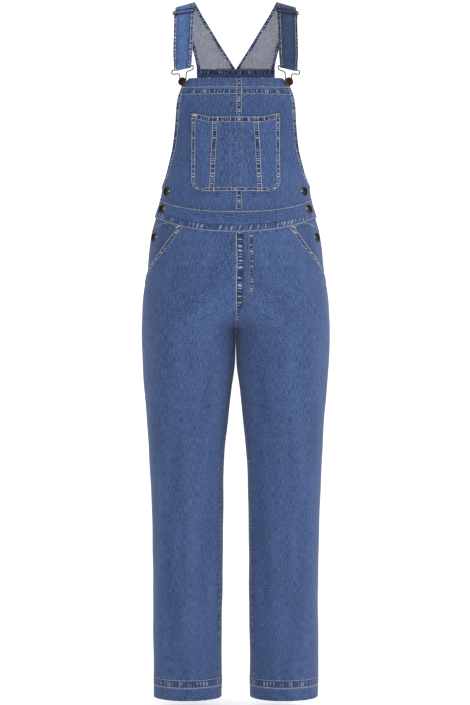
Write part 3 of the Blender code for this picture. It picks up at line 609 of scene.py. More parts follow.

# %% [markdown]
# Between the two rows of a seam the cloth is drawn into small puckers. Their tops fade to pale blue
# and carry a painted highlight, and their hollows and the seam's edge get a painted shade. The strip's
# vector says where a point is: across the strip, along it in puckers, and how strongly the seam's
# wear and painted shade show. Noise stretched across the strip gives puckers of uneven size.

# %% The wear and painted shade along a seam
def build_seam_colours():
    tree, given, result = new_group("Seam wear and painted shade", (("Seam", "vector", None), ("Shade", "value", 0.55)),
                                    (("Light", "value"), ("Dark", "value"), ("Height", "value")))
    place, walk, worn = node(tree, "ShaderNodeSeparateXYZ", {0: given["Seam"]}).outputs
    # worn sets how strongly the seam shows both its fade and its painted shade.
    inside = maths(tree, "MULTIPLY", soft_window(tree, place, (-0.22, 0.10), (0.92, 1.22)), worn)
    between = soft_window(tree, place, (0.02, 0.40), (0.60, 0.98))
    along = node(tree, "ShaderNodeCombineXYZ", {0: walk, 1: maths(tree, "MULTIPLY", place, 0.5)}).outputs[0]
    drift = noise(tree, along, (0.45, 0.35, 1.0), 1.0, 0.5)
    swell = noise(tree, along, (0.80, 0.9, 1.0), 2.0, 0.6)
    phase = maths(tree, "MULTIPLY_ADD", walk, 2 * math.pi, maths(tree, "MULTIPLY", drift, 14.0))
    pucker = maths(tree, "MULTIPLY_ADD", maths(tree, "SINE", phase), 0.22, 0.5)
    uneven = maths(tree, "MULTIPLY", maths(tree, "SUBTRACT", swell, 0.5), 1.6)
    pucker = maths(tree, "ADD", pucker, uneven)
    between = maths(tree, "MULTIPLY", between, worn)
    # Light: the tops of the puckers, faded by wear and brightened by a painted highlight.
    light = maths(tree, "MULTIPLY", soft_step(tree, pucker, 0.56, 0.78), between)
    # Dark: a painted shade over the strip, deepest in the hollows between the puckers.
    hollow = maths(tree, "SUBTRACT", 1.0, soft_step(tree, pucker, 0.25, 0.70))
    depth = maths(tree, "SUBTRACT", 1.0, given["Shade"])
    shade = maths(tree, "MULTIPLY_ADD", depth, hollow, given["Shade"])
    # The lip at the seam's edge is pale from wear, with a painted highlight as well.
    lip = maths(tree, "MULTIPLY", soft_window(tree, place, (-0.30, -0.08), (-0.05, 0.14)), worn)
    lip = maths(tree, "MULTIPLY", lip, maths(tree, "MULTIPLY", swell, 0.62))
    fill(tree, result, {
        "Light": maths(tree, "MAXIMUM", light, lip), "Dark": maths(tree, "MULTIPLY", shade, inside),
        "Height": maths(tree, "MULTIPLY", pucker, inside)})
    return tree


seam_wear_and_shade = build_seam_colours()
print("nodes in the seam wear:", len(seam_wear_and_shade.nodes))


# %% [markdown]
# Both sides of the denim are one function with different yarn colours. The right side is mid-blue
# with a warp that hides most of the weft, and the wrong side shows the pale weft. Sheen and
# roughness are plain numbers on the shader, because they don't change over the cloth.

# %% Build a denim
def denim(name, deep, pale, light, dark, grain, wear, slot_colour):
    material, tree, shader = new_material(name, slot_colour)
    cloth_uv = node(tree, "ShaderNodeUVMap", uv_map="cloth").outputs[0]
    woven = use_group(tree, weave, Cloth=stretched(tree, cloth_uv, (1000.0, 1000.0, 1000.0)),
                      Deep=(*deep, 1.0), Pale=(*pale, 1.0), Grain=grain)
    colour = woven.outputs["Colour"]
    heights = []
    for label in ("seam_down", "seam_across"):
        worn = use_group(tree, seam_wear_and_shade, Seam=attribute(tree, label, "Vector"))
        # Dark mixes in the painted shade of the seams, and Light the faded pucker tops with their painted
        # highlight. The faded variable holds both colours, and wear sets their strength.
        for amount, faded in (("Dark", dark), ("Light", light)):
            share = maths(tree, "MULTIPLY", worn.outputs[amount], wear)
            colour = mixed(tree, share, colour, (*faded, 1.0))
        heights.append(worn.outputs["Height"])
    fine = bump(tree, woven.outputs["Height"], 0.35, 0.00030)
    puckered = bump(tree, maths(tree, "ADD", *heights), 0.8, 0.0011, Normal=fine)
    # The tone attribute scales the colour: each piece's own tone, and a painted shade on the bib and the back
    # band.
    fill(tree, shader, {
        "Base Color": mixed(tree, 1.0, colour, attribute(tree, "tone", "Color"), "MULTIPLY"),
        "Normal": puckered, "Roughness": 0.88, "Specular IOR Level": 0.25,
        "Sheen Weight": 0.18, "Sheen Roughness": 0.55, "Sheen Tint": (0.62, 0.72, 0.95, 1.0)})
    return material


# Colours: deep and pale yarn, the faded pucker tops with a painted highlight, and the painted shade of the
# seams.
right_side = denim("washed_denim", (0.008, 0.0175, 0.062), (0.073, 0.131, 0.298), (0.290, 0.360, 0.520),
                   (0.007, 0.015, 0.050), 1.5, 0.9, (0.063, 0.107, 0.238))
wrong_side = denim("denim_wrong_side", (0.120, 0.130, 0.180), (0.385, 0.400, 0.450), (0.44, 0.46, 0.51),
                   (0.10, 0.12, 0.18), 1.7, 0.5, (0.25, 0.27, 0.33))


# %% [markdown]
# Most of the sewing is in a pale cream thread. The fly and the pocket's middle lines are in tan, a
# few bar tacks are gold, and the rows that have worn away are faded to blue. Spun thread isn't one
# flat colour: it has a soft mottle and a dull shine.

# %% Threads
def thread(name, colour, shade):
    material, tree, shader = new_material(name, colour)
    here = node(tree, "ShaderNodeTexCoord").outputs["Object"]
    fuzz = noise(tree, here, (900.0, 900.0, 900.0), 2.0, 0.5)
    tone = noise(tree, here, (60.0, 60.0, 60.0), 1.0, 0.5)
    blend = maths(tree, "MULTIPLY_ADD", fuzz, 0.5, maths(tree, "MULTIPLY", tone, 0.5))
    fill(tree, shader, {
        "Base Color": mixed(tree, soft_step(tree, blend, 0.30, 0.70), (*shade, 1.0), (*colour, 1.0)),
        "Normal": bump(tree, fuzz, 0.4, 0.0002), "Roughness": 0.72, "Sheen Weight": 0.2})
    return material


cream_thread = thread("cream_thread", (0.72, 0.70, 0.64), (0.44, 0.43, 0.42))
tan_thread = thread("tan_thread", (0.24, 0.175, 0.085), (0.095, 0.072, 0.042))
blue_thread = thread("blue_thread", (0.11, 0.15, 0.26), (0.05, 0.08, 0.17))
gold_thread = thread("gold_thread", (0.40, 0.25, 0.075), (0.21, 0.135, 0.050))
print("threads:", cream_thread.name, tan_thread.name, blue_thread.name, gold_thread.name)

# %% [markdown]
# The buttons, buckles and slides are antique brass: dark from a patina that stays in the hollows,
# and rubbed through to warmer metal on the rims. Each piece carries a number, worn, which is high
# on its rims. The material mixes patina and metal by that number and a fine noise.

# %% Antique brass
antique_brass, tree, shader = new_material("antique_brass", (0.065, 0.047, 0.026))
here = node(tree, "ShaderNodeTexCoord").outputs["Object"]
patina = noise(tree, here, (420.0, 420.0, 420.0), 4.0, 0.6)
blotches = maths(tree, "MULTIPLY", maths(tree, "SUBTRACT", patina, 0.5), 0.9)
bare = maths(tree, "ADD", maths(tree, "MULTIPLY", attribute(tree, "worn", "Fac"), 0.85), blotches)
bare = soft_step(tree, bare, 0.10, 0.85)
fill(tree, shader, {
    "Base Color": mixed(tree, bare, (0.018, 0.014, 0.010, 1.0), (0.170, 0.120, 0.058, 1.0)),
    "Roughness": maths(tree, "MULTIPLY_ADD", bare, -0.22, 0.56),
    "Normal": bump(tree, patina, 0.25, 0.0002), "Metallic": 0.85, "Specular Tint": (0.34, 0.28, 0.20, 1.0)})
print("hardware finish:", antique_brass.name)


# %% [markdown]
# ## Cut the panels
# One function turns a panel's rule into a finished piece. The rule gives an angle and a height for
# every row and share of its width. The function lays the grid, raises the seams, closes the shell,
# hides the solid that the piece stands for and keeps the area of its cloth.
# At the middle of the body the two halves lap by a fraction of a millimetre, the wearer's left half
# on top, so that no gap shows through.

# %% Make one panel
PANEL_LIFT = 0.0002
CENTRE_GAP = 0.00006
CENTRE_LAP = 0.0006
CENTRE_STEP = 0.0003
CENTRE_REACH = 0.0040
panels = {}
made_area = {}


def grid_area(point):
    a, b = np.diff(point, axis=0)[:, :-1], np.diff(point, axis=1)[:-1]
    return float(np.linalg.norm(np.cross(a, b), axis=2).sum())


def declare(item, node_name, area):
    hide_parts(node_name)
    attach(item, "root")
    made_area[node_name] = area


def strips_of(panel, rule):
    """A panel's strips, from rows of edge, near, far, wear, rise and pitch or a function that gives them."""
    rows = rule(panel) if callable(rule) else rule
    return nearest_strip([seam(panel, *row) for row in rows], panel["z"].shape)


def make_panel(name, side, rows, place, down=(), across=(), lift=PANEL_LIFT, depth=CLOTH, back=1, held="hung",
               rests_on="waistband_front", turned=False, tone=1.0, **steps):
    panel = measure(side, *lay_grid(side, rows, place, **steps), uv_turned=turned)
    size = panel["z"].shape
    seam_down, seam_across = (strips_of(panel, rule) for rule in (down, across))
    raised = np.maximum(rise_of(seam_down), rise_of(seam_across))
    high = (lift(panel) if callable(lift) else lift) + raised
    low = depth(panel) if callable(depth) else depth
    outer = panel["point"] + panel["normal"] * np.broadcast_to(high, size)[..., None]
    inner = panel["point"] - panel["normal"] * np.broadcast_to(low, size)[..., None]
    if side:
        at_centre = np.zeros(size, dtype=bool)
        at_centre[:, [0, -1]] = (outer[:, [0, -1], 0] < CENTRE_REACH) & (panel["z"][:, [0, -1]] > CROTCH_Z)
        for face in (outer, inner):
            face[..., 0] = np.maximum(face[..., 0], CENTRE_GAP)
        outer[at_centre, 0] = -CENTRE_LAP
        if side < 0:
            outer[at_centre] -= panel["normal"][at_centre] * CENTRE_STEP
        for face in (outer, inner, panel["normal"]):
            face[..., 0] *= side
    panel["outer"], panel["inner"] = outer, inner
    back_faces = back(panel) if callable(back) else back
    shade = tone(panel) if callable(tone) else tone
    mesh = shell_mesh(name + "_cloth", outer, inner, panel["uv"], seam_down, seam_across, back_faces, shade)
    item = add_object(name + "_cloth", mesh, right_side, wrong_side)
    declare(item, name, grid_area(outer))
    panels[name] = panel
    return panel


SIDES = ((1, "left"), (-1, "right"))


def both_sides(build):
    for side, word in SIDES:
        build(side, word)


# %% [markdown]
# ## The legs
# Each leg has a front and a back panel, joined at the side seam and the inseam, with the two fronts
# meeting at the fly. The front is cut away at the hip by the slanted pocket mouth. The fly's seam
# turns to the wearer's left, so only the left front has its wide, strongly puckered strip.

# %% Front panels of the legs
LEG_ROWS = rows_down(
    FRONT_RISE_TOP, HEM_Z, 0.0062, (FRONT_RISE_TOP, -0.4380, 0.0016), (-0.545, -0.566, 0.003),
    (-0.636, -0.654, 0.0015), (-1.3245, -1.3345, 0.0011), (-1.342, -1.347, 0.0014), (-1.364, HEM_Z, 0.0014))
FLY_STEPS = np.concatenate((
    EDGE_STEPS, (0.0170, 0.0215, 0.0242, 0.0258, 0.0275, 0.0300, 0.0325, 0.0342, 0.0362, 0.0390)))
MOUTH_END = -0.5605
MOUTH_SEWN, SIDE_SEWN, FORK = -0.554, -0.562, -0.648
RISE_END = -0.545
RISE_HEIGHT = 0.110
HEM_TOP = 0.0410
HEM_STEP = 0.0010
HEM_SEAMS = (
    ("bottom", 0.0255, 0.0398, 0.60, 0.5, 0.0062), ("bottom", -0.0010, 0.0040, 0.35, 0.0),
    ("top", 0.0006, 0.0050, 0.40, 0.0),
)


def near_waist(z):
    """1 in the top rows of a leg, fading to 0 where the rise ends."""
    return ease((z - RISE_END) / RISE_HEIGHT)


def under_waistband(z, angle):
    """Heights whose top rows follow the dip of the waistband, with a gap under it."""
    fade = near_waist(z)
    return z + fade * (waist_bottom(angle) - FRONT_RISE_TOP) - SEAM_GAP * fade


def front_place(z, share):
    start = np.where(z > MOUTH_END, slant_edge(z), side_edge(z)) - gap_angle(z) / 2
    end = np.maximum(centre_angle(z, True), inseam_edge(z) + gap_angle(z))
    angle = start + (end - start) * share
    return angle, under_waistband(z, angle)


def front_seams(panel):
    z, side = panel["z"], panel["side"]
    own = side > 0
    far = np.interp(z, (-0.645, -0.612, -0.597, -0.45), (0.0075, 0.0080, 0.0135, 0.0140)) if own else 0.0070
    # wear sets how strongly each seam shows its fade and its painted shade.
    wear = np.where(z > FORK, 1.0 if own else 0.22, 0.85)
    rise = np.where(z > FORK, 1.0 if own else 0.1, 0.7)
    found = [
        ("left", 0.0020, 0.0105, np.where(z > MOUTH_SEWN, 1.0, 0.0), 0.9),
        ("left", 0.0010, 0.0055, np.where(z < SIDE_SEWN, 0.35, 0.0), 0.5),
        ("right", 0.0018, far, wear, rise, 0.0068 if own else 0.0048),
    ]
    if own:
        above = ease((z + 0.578) / 0.014)
        found.append(("right", 0.0262, 0.0340, 0.75 * above, 0.4 * above, 0.0060))
    return found


def hem_lift(panel):
    return PANEL_LIFT + 0.00035 * ease((HEM_TOP - panel["bottom"]) / HEM_STEP)


def hem_depth(panel):
    return CLOTH + (HEM_CLOTH - CLOTH) * ease((HEM_TOP - panel["bottom"]) / HEM_STEP)


def leg_tone(panel):
    return 1.0 - 0.05 * ease((-0.620 - panel["z"]) / 0.10)


def front_leg(side, word):
    make_panel(f"leg_front_{word}", side, LEG_ROWS, front_place, front_seams, HEM_SEAMS, hem_lift,
               hem_depth, right=FLY_STEPS if side > 0 else EDGE_STEPS, tone=leg_tone, middle=26)


both_sides(front_leg)
print("front leg grid:", panels["leg_front_left"]["z"].shape)


# %% [markdown]
# The backs are wider over the seat. Their centre seam is felled to the wearer's left, as the bib's
# is. The picture doesn't show the back, so it is finished plainly, with no pockets.

# %% Back panels of the legs
def back_place(z, share):
    start = side_edge(z) + gap_angle(z) / 2
    end = np.where(z > CROTCH_Z, centre_angle(z, False), 360 + inseam_edge(z))
    return start + (end - start) * share, z - SEAM_GAP * near_waist(z)


def back_leg_seams(panel):
    z, own = panel["z"], panel["side"] > 0
    return [
        ("left", 0.0020, 0.0085, np.where(z > -0.575, 0.8, 0.4), 0.7),
        ("right", 0.0018, 0.0085, np.where(z > CROTCH_Z, 1.0 if own else 0.22, 0.4),
         np.where(z > CROTCH_Z, 1.0 if own else 0.1, 0.3)),
    ]


def back_leg(side, word):
    make_panel(f"leg_back_{word}", side, LEG_ROWS, back_place, back_leg_seams, HEM_SEAMS, hem_lift,
               hem_depth, rests_on="waistband_back", middle=30)


both_sides(back_leg)
print("back leg flat size:", np.round(panels["leg_back_left"]["flat"], 3).tolist())


# %% [markdown]
# Behind the slanted mouth lies the pocket's facing, one layer further in. Behind that, the button
# stand of the side opening runs from the back's edge under the bib. Both are made from the front's
# own points, moved in, so that the layers follow the same creases and never cut each other.

# %% Pocket facings and button stands, with angles in degrees
FACING_LAP = 8.0
STAND_START, STAND_WIDTH = 55.0, 57.0


def facing_place(z, share):
    start, end = slant_edge(z) - FACING_LAP, side_edge(z) - gap_angle(z)
    angle = start + (end - start) * share
    return angle, under_waistband(z, angle)


def facing_under(panel):
    return CLOTH + LAYER_GAP + 0.0016 * ease((-0.490 - panel["z"]) / 0.035)


def stand_place(z, share):
    angle = STAND_START + STAND_WIDTH * share
    fade = ease((z + 0.420) / 0.056)
    return angle, z - 0.012 * fade * ease((angle - 70.0) / 20.0)


def stand_under(panel):
    z = panel["z"]
    under_band = WAISTBAND_INSIDE + LAYER_GAP
    under_facing = 2 * (CLOTH + LAYER_GAP) + 0.0026 * ease((-0.470 - z) / 0.035)
    return under_band + (under_facing - under_band) * ease((-0.395 - z) / 0.020)


def hidden_layers(side, word):
    make_panel(
        f"pocket_facing_{word}", side,
        rows_down(FRONT_RISE_TOP, RISE_END, 0.004, (FRONT_RISE_TOP, -0.434, 0.0016)),
        facing_place, [("right", 0.0010, 0.0065, 0.8, 0.7)], [("top", 0.0006, 0.0050, 0.45, 0.0)],
        lift=lambda p: 0.0001 - facing_under(p), depth=lambda p: facing_under(p) + CLOTH - 0.0002,
        rests_on=f"leg_front_{word}", held="laid", tone=0.93, left=PLAIN_STEPS, middle=12)
    make_panel(
        f"button_stand_{word}", side, rows_down(-0.364, -0.550, 0.005), stand_place,
        [("left", 0.0010, 0.0065, 0.7, 0.5)],
        lift=lambda p: 0.0001 - stand_under(p), depth=lambda p: stand_under(p) + CLOTH - 0.0002,
        rests_on=f"leg_back_{word}", held="laid", tone=0.80, right=PLAIN_STEPS, middle=12)


both_sides(hidden_layers)
print("layers at the hip:", sorted(name for name in panels if "facing" in name or "stand" in name))

# %% [markdown]
# ## The waistband, the bib and the back
# The waistband is cut along the cloth, so its weave lies on its side, and it stands a little proud.
# It dips in front. Its lower edge has the widest puckered strip of the garment. The bib's top is a
# deep hem, and its side edges sweep out to the side openings. The back's edges rise to a short band.

# %% Waistband, front and back
BAND_ROWS = np.array((
    0.0, 0.012, 0.03, 0.055, 0.085, 0.12, 0.17, 0.24, 0.32, 0.40, 0.48,
    0.54, 0.59, 0.64, 0.70, 0.77, 0.84, 0.90, 0.94, 0.965, 0.985, 1.0))


def band_front_place(down, share):
    angle = -SIDE_SEAM + 2 * SIDE_SEAM * share
    return angle, waist_top(angle) * (1 - down) + waist_bottom(angle) * down


def band_back_place(down, share):
    start = SIDE_SEAM + 0.15
    angle = start + (360 - 2 * start) * share
    return angle, WAIST_TOP * (1 - down) + FRONT_RISE_TOP * down


BAND_ENDS = (("left", 0.0010, 0.0060, 0.5, 0.2), ("right", 0.0010, 0.0060, 0.5, 0.2))
BAND_SEAMS = (("top", 0.0002, 0.0034, 0.60, 0.4), ("bottom", 0.0015, 0.0145, 0.55, 0.6, 0.0075))
for name, place, above in (("waistband_front", band_front_place, "bib_left"),
                           ("waistband_back", band_back_place, "back_left")):
    make_panel(name, 0, BAND_ROWS, place, BAND_ENDS, BAND_SEAMS, lift=WAISTBAND_PROUD + 0.0001,
               depth=WAISTBAND_INSIDE - 0.0001, back=0, held="stretched", rests_on=above, turned=True,
               tone=1.02, middle=62)
print("waistband front, cut size:", np.round(panels["waistband_front"]["flat"], 3).tolist())


# %% The bib
def bib_place(z, share):
    angle = np.maximum(share * bib_edge(z), CENTRE_TURN)
    drop = 0.013 * ease((share - 0.80) / 0.20) * ease((z + 0.215) / 0.060)
    low = ease((-0.300 - z) / 0.085)
    return angle, z - drop + low * (waist_top(angle) + SEAM_GAP - WAIST_TOP)


BIB_CENTRE = {1: ("left", 0.0023, 0.0107, 0.95, 1.0), -1: ("left", 0.0006, 0.0040, 0.25, 0.1)}
BIB_EDGE_SEAM = ("right", 0.0008, 0.0070, 1.0, 0.8)
BIB_HEMS = (
    ("level", 0.0222, 0.0316, 0.70, 0.7, 0.0056), ("level", 0.0150, 0.0195, 0.35, 0.1),
    ("top", -0.0015, 0.0030, 0.50, 0.0), ("bottom", 0.0004, 0.0040, 0.30, 0.0),
)


def in_bib_hem(panel):
    return ease((BIB_HEM_DEPTH - panel["level"]) / 0.001)


def bib_tone_with_painted_shade(panel):
    # Below the top hem and down to near the waist, the bib is darkened by a painted shade. It shows on the
    # sides beside the pocket, which curve away from the light.
    z = panel["z"]
    return 0.98 - 0.12 * ease((-0.190 - z) / 0.020) * ease((z + 0.360) / 0.040)


def make_bib(side, word):
    rows = rows_down(BIB_TOP, WAIST_TOP, 0.0058, (BIB_TOP, -0.1590, 0.0014), (-0.168, -0.192, 0.0014),
                     (-0.380, WAIST_TOP, 0.0014))
    make_panel(f"bib_{word}", side, rows, bib_place, (BIB_CENTRE[side], BIB_EDGE_SEAM), BIB_HEMS,
               lift=lambda p: PANEL_LIFT + 0.0003 * in_bib_hem(p),
               depth=lambda p: CLOTH + (HEM_CLOTH - CLOTH) * in_bib_hem(p),
               back=lambda p: np.where(p["level"][:-1, :-1] < BIB_HEM_DEPTH, 0, 1),
               rests_on="waistband_front", tone=bib_tone_with_painted_shade, middle=22)


both_sides(make_bib)
print("bib, cut size:", np.round(panels["bib_left"]["flat"], 3).tolist())


# %% The back and its band
def back_panel_place(z, share):
    start = back_edge(z) + np.where(z < -0.369, 0.15, 0.0)
    end = 180.0 - CENTRE_TURN
    shift = -SEAM_GAP * ease((z + 0.170) / 0.010) + SEAM_GAP * ease((-0.376 - z) / 0.010)
    return start + (end - start) * share, z + shift


BACK_EDGE_SEAM = ("left", 0.0008, 0.0070, 0.95, 0.8)
BACK_CENTRE = {1: ("right", 0.0018, 0.0095, 0.9, 1.0), -1: ("right", 0.0018, 0.0095, 0.2, 0.1)}


def make_back(side, word):
    rows = rows_down(BACK_BAND_BOTTOM, WAIST_TOP, 0.0058, (-0.380, WAIST_TOP, 0.0014))
    make_panel(f"back_{word}", side, rows, back_panel_place, (BACK_EDGE_SEAM, BACK_CENTRE[side]),
               [("bottom", 0.0004, 0.0040, 0.3, 0.0)], rests_on="waistband_back", tone=0.95, middle=18)


def back_band_place(z, share):
    start = float(back_edge(BACK_BAND_TOP))
    return start + (360 - 2 * start) * share, z + 0 * share


both_sides(make_back)
back_band_rows = rows_down(BACK_BAND_TOP, BACK_BAND_BOTTOM, 0.0035, (BACK_BAND_TOP, -0.124, 0.0012),
                           (-0.155, -0.16, 0.0012))
# The back band's tone of 0.54 is a painted shade: the band is seen from inside, where it lies in shadow.
make_panel("back_band", 0, back_band_rows, back_band_place, (),
           (("top", 0.0030, 0.0115, 0.9, 0.5), ("bottom", 0.0015, 0.0080, 0.7, 0.4)),
           depth=HEM_CLOTH, back=0, rests_on="back_left", turned=True, tone=0.54, middle=16)
print("back band, cut size:", np.round(panels["back_band"]["flat"], 3).tolist())

# %% [markdown]
# ## The chest pocket
# The patch pocket has three panels joined by two felled seams, a hem that dips along its top, and
# blunt lower corners. It lies on the bib, so its points are the bib's own, moved out.

# %% The pocket's outline and panels
POCKET = (
    (-0.2247, 0.0848), (-0.300, 0.0853), (-0.354, 0.0860),
    (-0.363, 0.0835), (-0.3712, 0.0762), (-0.3750, 0.0660),
)
POCKET_TOP, POCKET_BOTTOM, POCKET_DIP, POCKET_LIFT = -0.2247, -0.3750, 0.0064, 0.0009
POCKET_SEAM_TOP, POCKET_SEAM_BOTTOM = 0.0450, 0.0520
pocket_width = column(POCKET)


def pocket_place(low, high):
    def place(z, share):
        spread = low + (high - low) * share
        slide = (POCKET_TOP - z) / (POCKET_TOP - POCKET_BOTTOM)
        seam = POCKET_SEAM_TOP + (POCKET_SEAM_BOTTOM - POCKET_SEAM_TOP) * slide
        size = np.abs(spread)
        reach = np.where(size <= 1, seam * size, seam + (pocket_width(z) - seam) * (size - 1))
        x = np.sign(spread) * reach + SEAM_GAP * (0.5 - share)
        dip = POCKET_DIP * (1 - ease((np.abs(x) - 0.046) / 0.036)) * ease((z + 0.300) / 0.075)
        return angle_at(x, z + 0 * x), z - dip
    return place


OUTER_SEAM = (0.0010, 0.0068, 1.0, 0.7)
FELLED_SEAM = (0.0015, 0.0095, 1.0, 0.8)
LAPPED_SEAM = (0.0002, 0.0022, 0.2, 0.0)
POCKET_HEMS = (("top", 0.0010, 0.0100, 1.0, 0.6), ("bottom", 0.0010, 0.0068, 1.0, 0.6))
POCKET_ROWS = rows_down(POCKET_TOP, POCKET_BOTTOM, 0.0050, (POCKET_TOP, -0.2360, 0.0013),
                        (-0.350, -0.366, 0.002), (-0.366, POCKET_BOTTOM, 0.0012))
for name, low, high, left, right, middle in (
        ("chest_pocket_left", 1.0, 2.0, LAPPED_SEAM, OUTER_SEAM, 7),
        ("chest_pocket_centre", -1.0, 1.0, FELLED_SEAM, FELLED_SEAM, 16),
        ("chest_pocket_right", -2.0, -1.0, OUTER_SEAM, LAPPED_SEAM, 7)):
    ends = (("left", *left), ("right", *right))
    make_panel(name, 0, POCKET_ROWS, pocket_place(low, high), ends, POCKET_HEMS, lift=POCKET_LIFT + CLOTH,
               depth=-POCKET_LIFT + 0.0001, held="laid", rests_on="bib_left", tone=1.03, middle=middle)
print("pocket area:", round(sum(area for name, area in made_area.items() if "chest_pocket" in name), 4))


# %% [markdown]
# ## Straps
# The back divides into two arms, which rise in a V to the shoulders. A doubled strap is sewn to each
# arm, runs over the shoulder and down to the buckle, turns round the buckle's bar and comes back up
# to the slide. One table gives the run's middle, width, roll, yaw and bow. A point of a strap is its
# place along the run, its share across, and its height above the middle line.

# %% The run of each strap: place, x, y, z, half-width, roll, yaw and bow
STRAP_RUN = (
    (0.0, 0.0396, 0.0966, -0.1186, 0.0393, 0.0, -10.2, 0.0021),
    (1.0, 0.0500, 0.0935, -0.0950, 0.0336, 2.0, -11.0, 0.0018),
    (2.0, 0.0627, 0.0870, -0.0680, 0.0282, 5.0, -11.0, 0.0014),
    (3.0, 0.0745, 0.0755, -0.0440, 0.0242, 9.0, -10.0, 0.0008),
    (4.0, 0.0860, 0.0580, -0.0235, 0.0214, 13.0, -7.0, 0.0003),
    (5.0, 0.0935, 0.0380, -0.0105, 0.0200, 16.5, -3.0, 0.0),
    (6.0, 0.0980, 0.0180, -0.0034, 0.0195, 17.0, 0.0, 0.0),
    (7.0, 0.0990, 0.0000, -0.0016, 0.0195, 16.0, 0.0, 0.0),
    (8.0, 0.0995, -0.0180, -0.0054, 0.0195, 13.5, 3.0, 0.0),
    (9.0, 0.1003, -0.0350, -0.0160, 0.0195, 9.5, 7.0, 0.0),
    (10.0, 0.1010, -0.0505, -0.0320, 0.0195, 6.5, 11.0, 0.0),
    (11.0, 0.1015, -0.0645, -0.0530, 0.0195, 6.0, 14.0, 0.0),
    (12.0, 0.1020, -0.0760, -0.0770, 0.0195, 7.0, 16.0, 0.0),
    (13.0, 0.1025, -0.0860, -0.1030, 0.0195, 8.5, 17.0, 0.0),
    (14.0, 0.1025, -0.0955, -0.1360, 0.0172, 11.0, 18.0, 0.0),
)
BACK_STRAP_END = 5.6
STRAP_START = 4.4
SLIDE_AT = 9.80
LOOP_HEIGHT = 0.0022
run_x, run_y, run_z, run_half, run_roll, run_yaw, run_bow = (column(STRAP_RUN, n) for n in range(1, 8))


def strap_middle(place):
    return np.stack((run_x(place), run_y(place), run_z(place)), axis=-1)


def strap_frame(place):
    """The middle of the strap, the direction across it, and its outward normal."""
    place = np.asarray(place, dtype=float)
    ahead = strap_middle(place + 0.05) - strap_middle(place - 0.05)
    roll, yaw = np.radians(run_roll(place)), np.radians(run_yaw(place))
    across = np.stack((np.cos(roll) * np.cos(yaw), np.sin(yaw), -np.sin(roll)), axis=-1)
    normal = np.cross(ahead, across)
    level = normal * np.array((1.0, 1.0, 0.0))
    return strap_middle(place), across, unit(np.where((place <= 0.05)[..., None], level, normal))


def strap_point(place, share, height):
    middle, across, normal = strap_frame(place)
    width = (run_half(place) * share)[..., None]
    return middle + across * width + normal * (height + run_bow(place) * (1 - share * share))[..., None]


fine_places = np.linspace(0.0, 14.0, 561)
fine_steps = np.linalg.norm(np.diff(strap_middle(fine_places), axis=0), axis=1)
fine_lengths = np.concatenate(([0.0], np.cumsum(fine_steps)))


def place_of(length):
    return np.interp(length, fine_lengths, fine_places)


def length_of(place):
    return float(np.interp(place, fine_places, fine_lengths))


print("strap run, from the back band to the buckle:", round(float(fine_lengths[-1]), 3))

# %% [markdown]
# The arms of the V are cut from the back's cloth, so their inner face shows the pale wrong side,
# with a narrow turned hem in blue down both edges. That hem is the same shell with other faces.

# %% Arms of the V
ARM_HEM = 0.0072
ARM_SHARES = np.concatenate((
    -np.cos(np.linspace(0, math.pi / 2, 16))[:-1], np.cos(np.linspace(math.pi / 2, 0, 16))))


def arm_panel(side, word):
    place = np.linspace(0.0, BACK_STRAP_END, 62)[:, None]
    share = np.broadcast_to(ARM_SHARES[None, :], (62, len(ARM_SHARES)))
    middle = strap_point(place, share, np.zeros_like(share))
    middle[0, :, 2] -= 0.0013
    _, _, normal = strap_frame(place)
    normal = np.broadcast_to(normal, middle.shape).copy()
    ripple = 0.00035 * np.sin(place * 6.1 + share * 2.2 * side) * (1 - share ** 4)
    ripple = ripple * ease(place / 0.6) * ease(5.2 - place)
    edge = (1 - np.abs(share)) * run_half(place)
    down = nearest_strip([strip(edge, 0.0006, ARM_HEM, run_z(place), 0.95, 0.55)], edge.shape)
    thick = (CLOTH / 2 + 0.0001 + rise_of(down) * 0.6)[..., None]
    faces = [middle + normal * (ripple[..., None] + turn * thick) for turn in (1, -1)]
    for face in faces:
        face[..., 0] = np.maximum(face[..., 0], CENTRE_GAP) * side
    normal[..., 0] *= side
    along = np.broadcast_to(-walked(middle, 0)[:, :1], share.shape)
    uv = np.stack((share * run_half(place), along), axis=-1)
    hem_faces = np.where(edge[:-1, :-1] + edge[1:, 1:] < 2 * ARM_HEM, 0, 1)
    none = nearest_strip([], edge.shape)
    mesh = shell_mesh(f"back_strap_{word}_cloth", faces[0], faces[1], uv, down, none, hem_faces)
    item = add_object(f"back_strap_{word}_cloth", mesh, right_side, wrong_side)
    declare(item, f"back_strap_{word}", grid_area(faces[0]))
    panels[f"back_strap_{word}"] = {"outer": faces[0], "inner": faces[1], "normal": normal, "left": edge}


both_sides(arm_panel)

# %% [markdown]
# The strap's own path is drawn flat, as lengths along the run and heights above it: over the
# shoulder, round the buckle's bar, back up, and round the slide's middle bar. Half the cloth's
# thickness to each side of that path gives both faces of the strap.

# %% The strap's path
def arc(length, height, radius, start, end, steps):
    turns = np.radians(np.linspace(start, end, steps))
    return [(length + radius * math.cos(turn), height + radius * math.sin(turn)) for turn in turns]


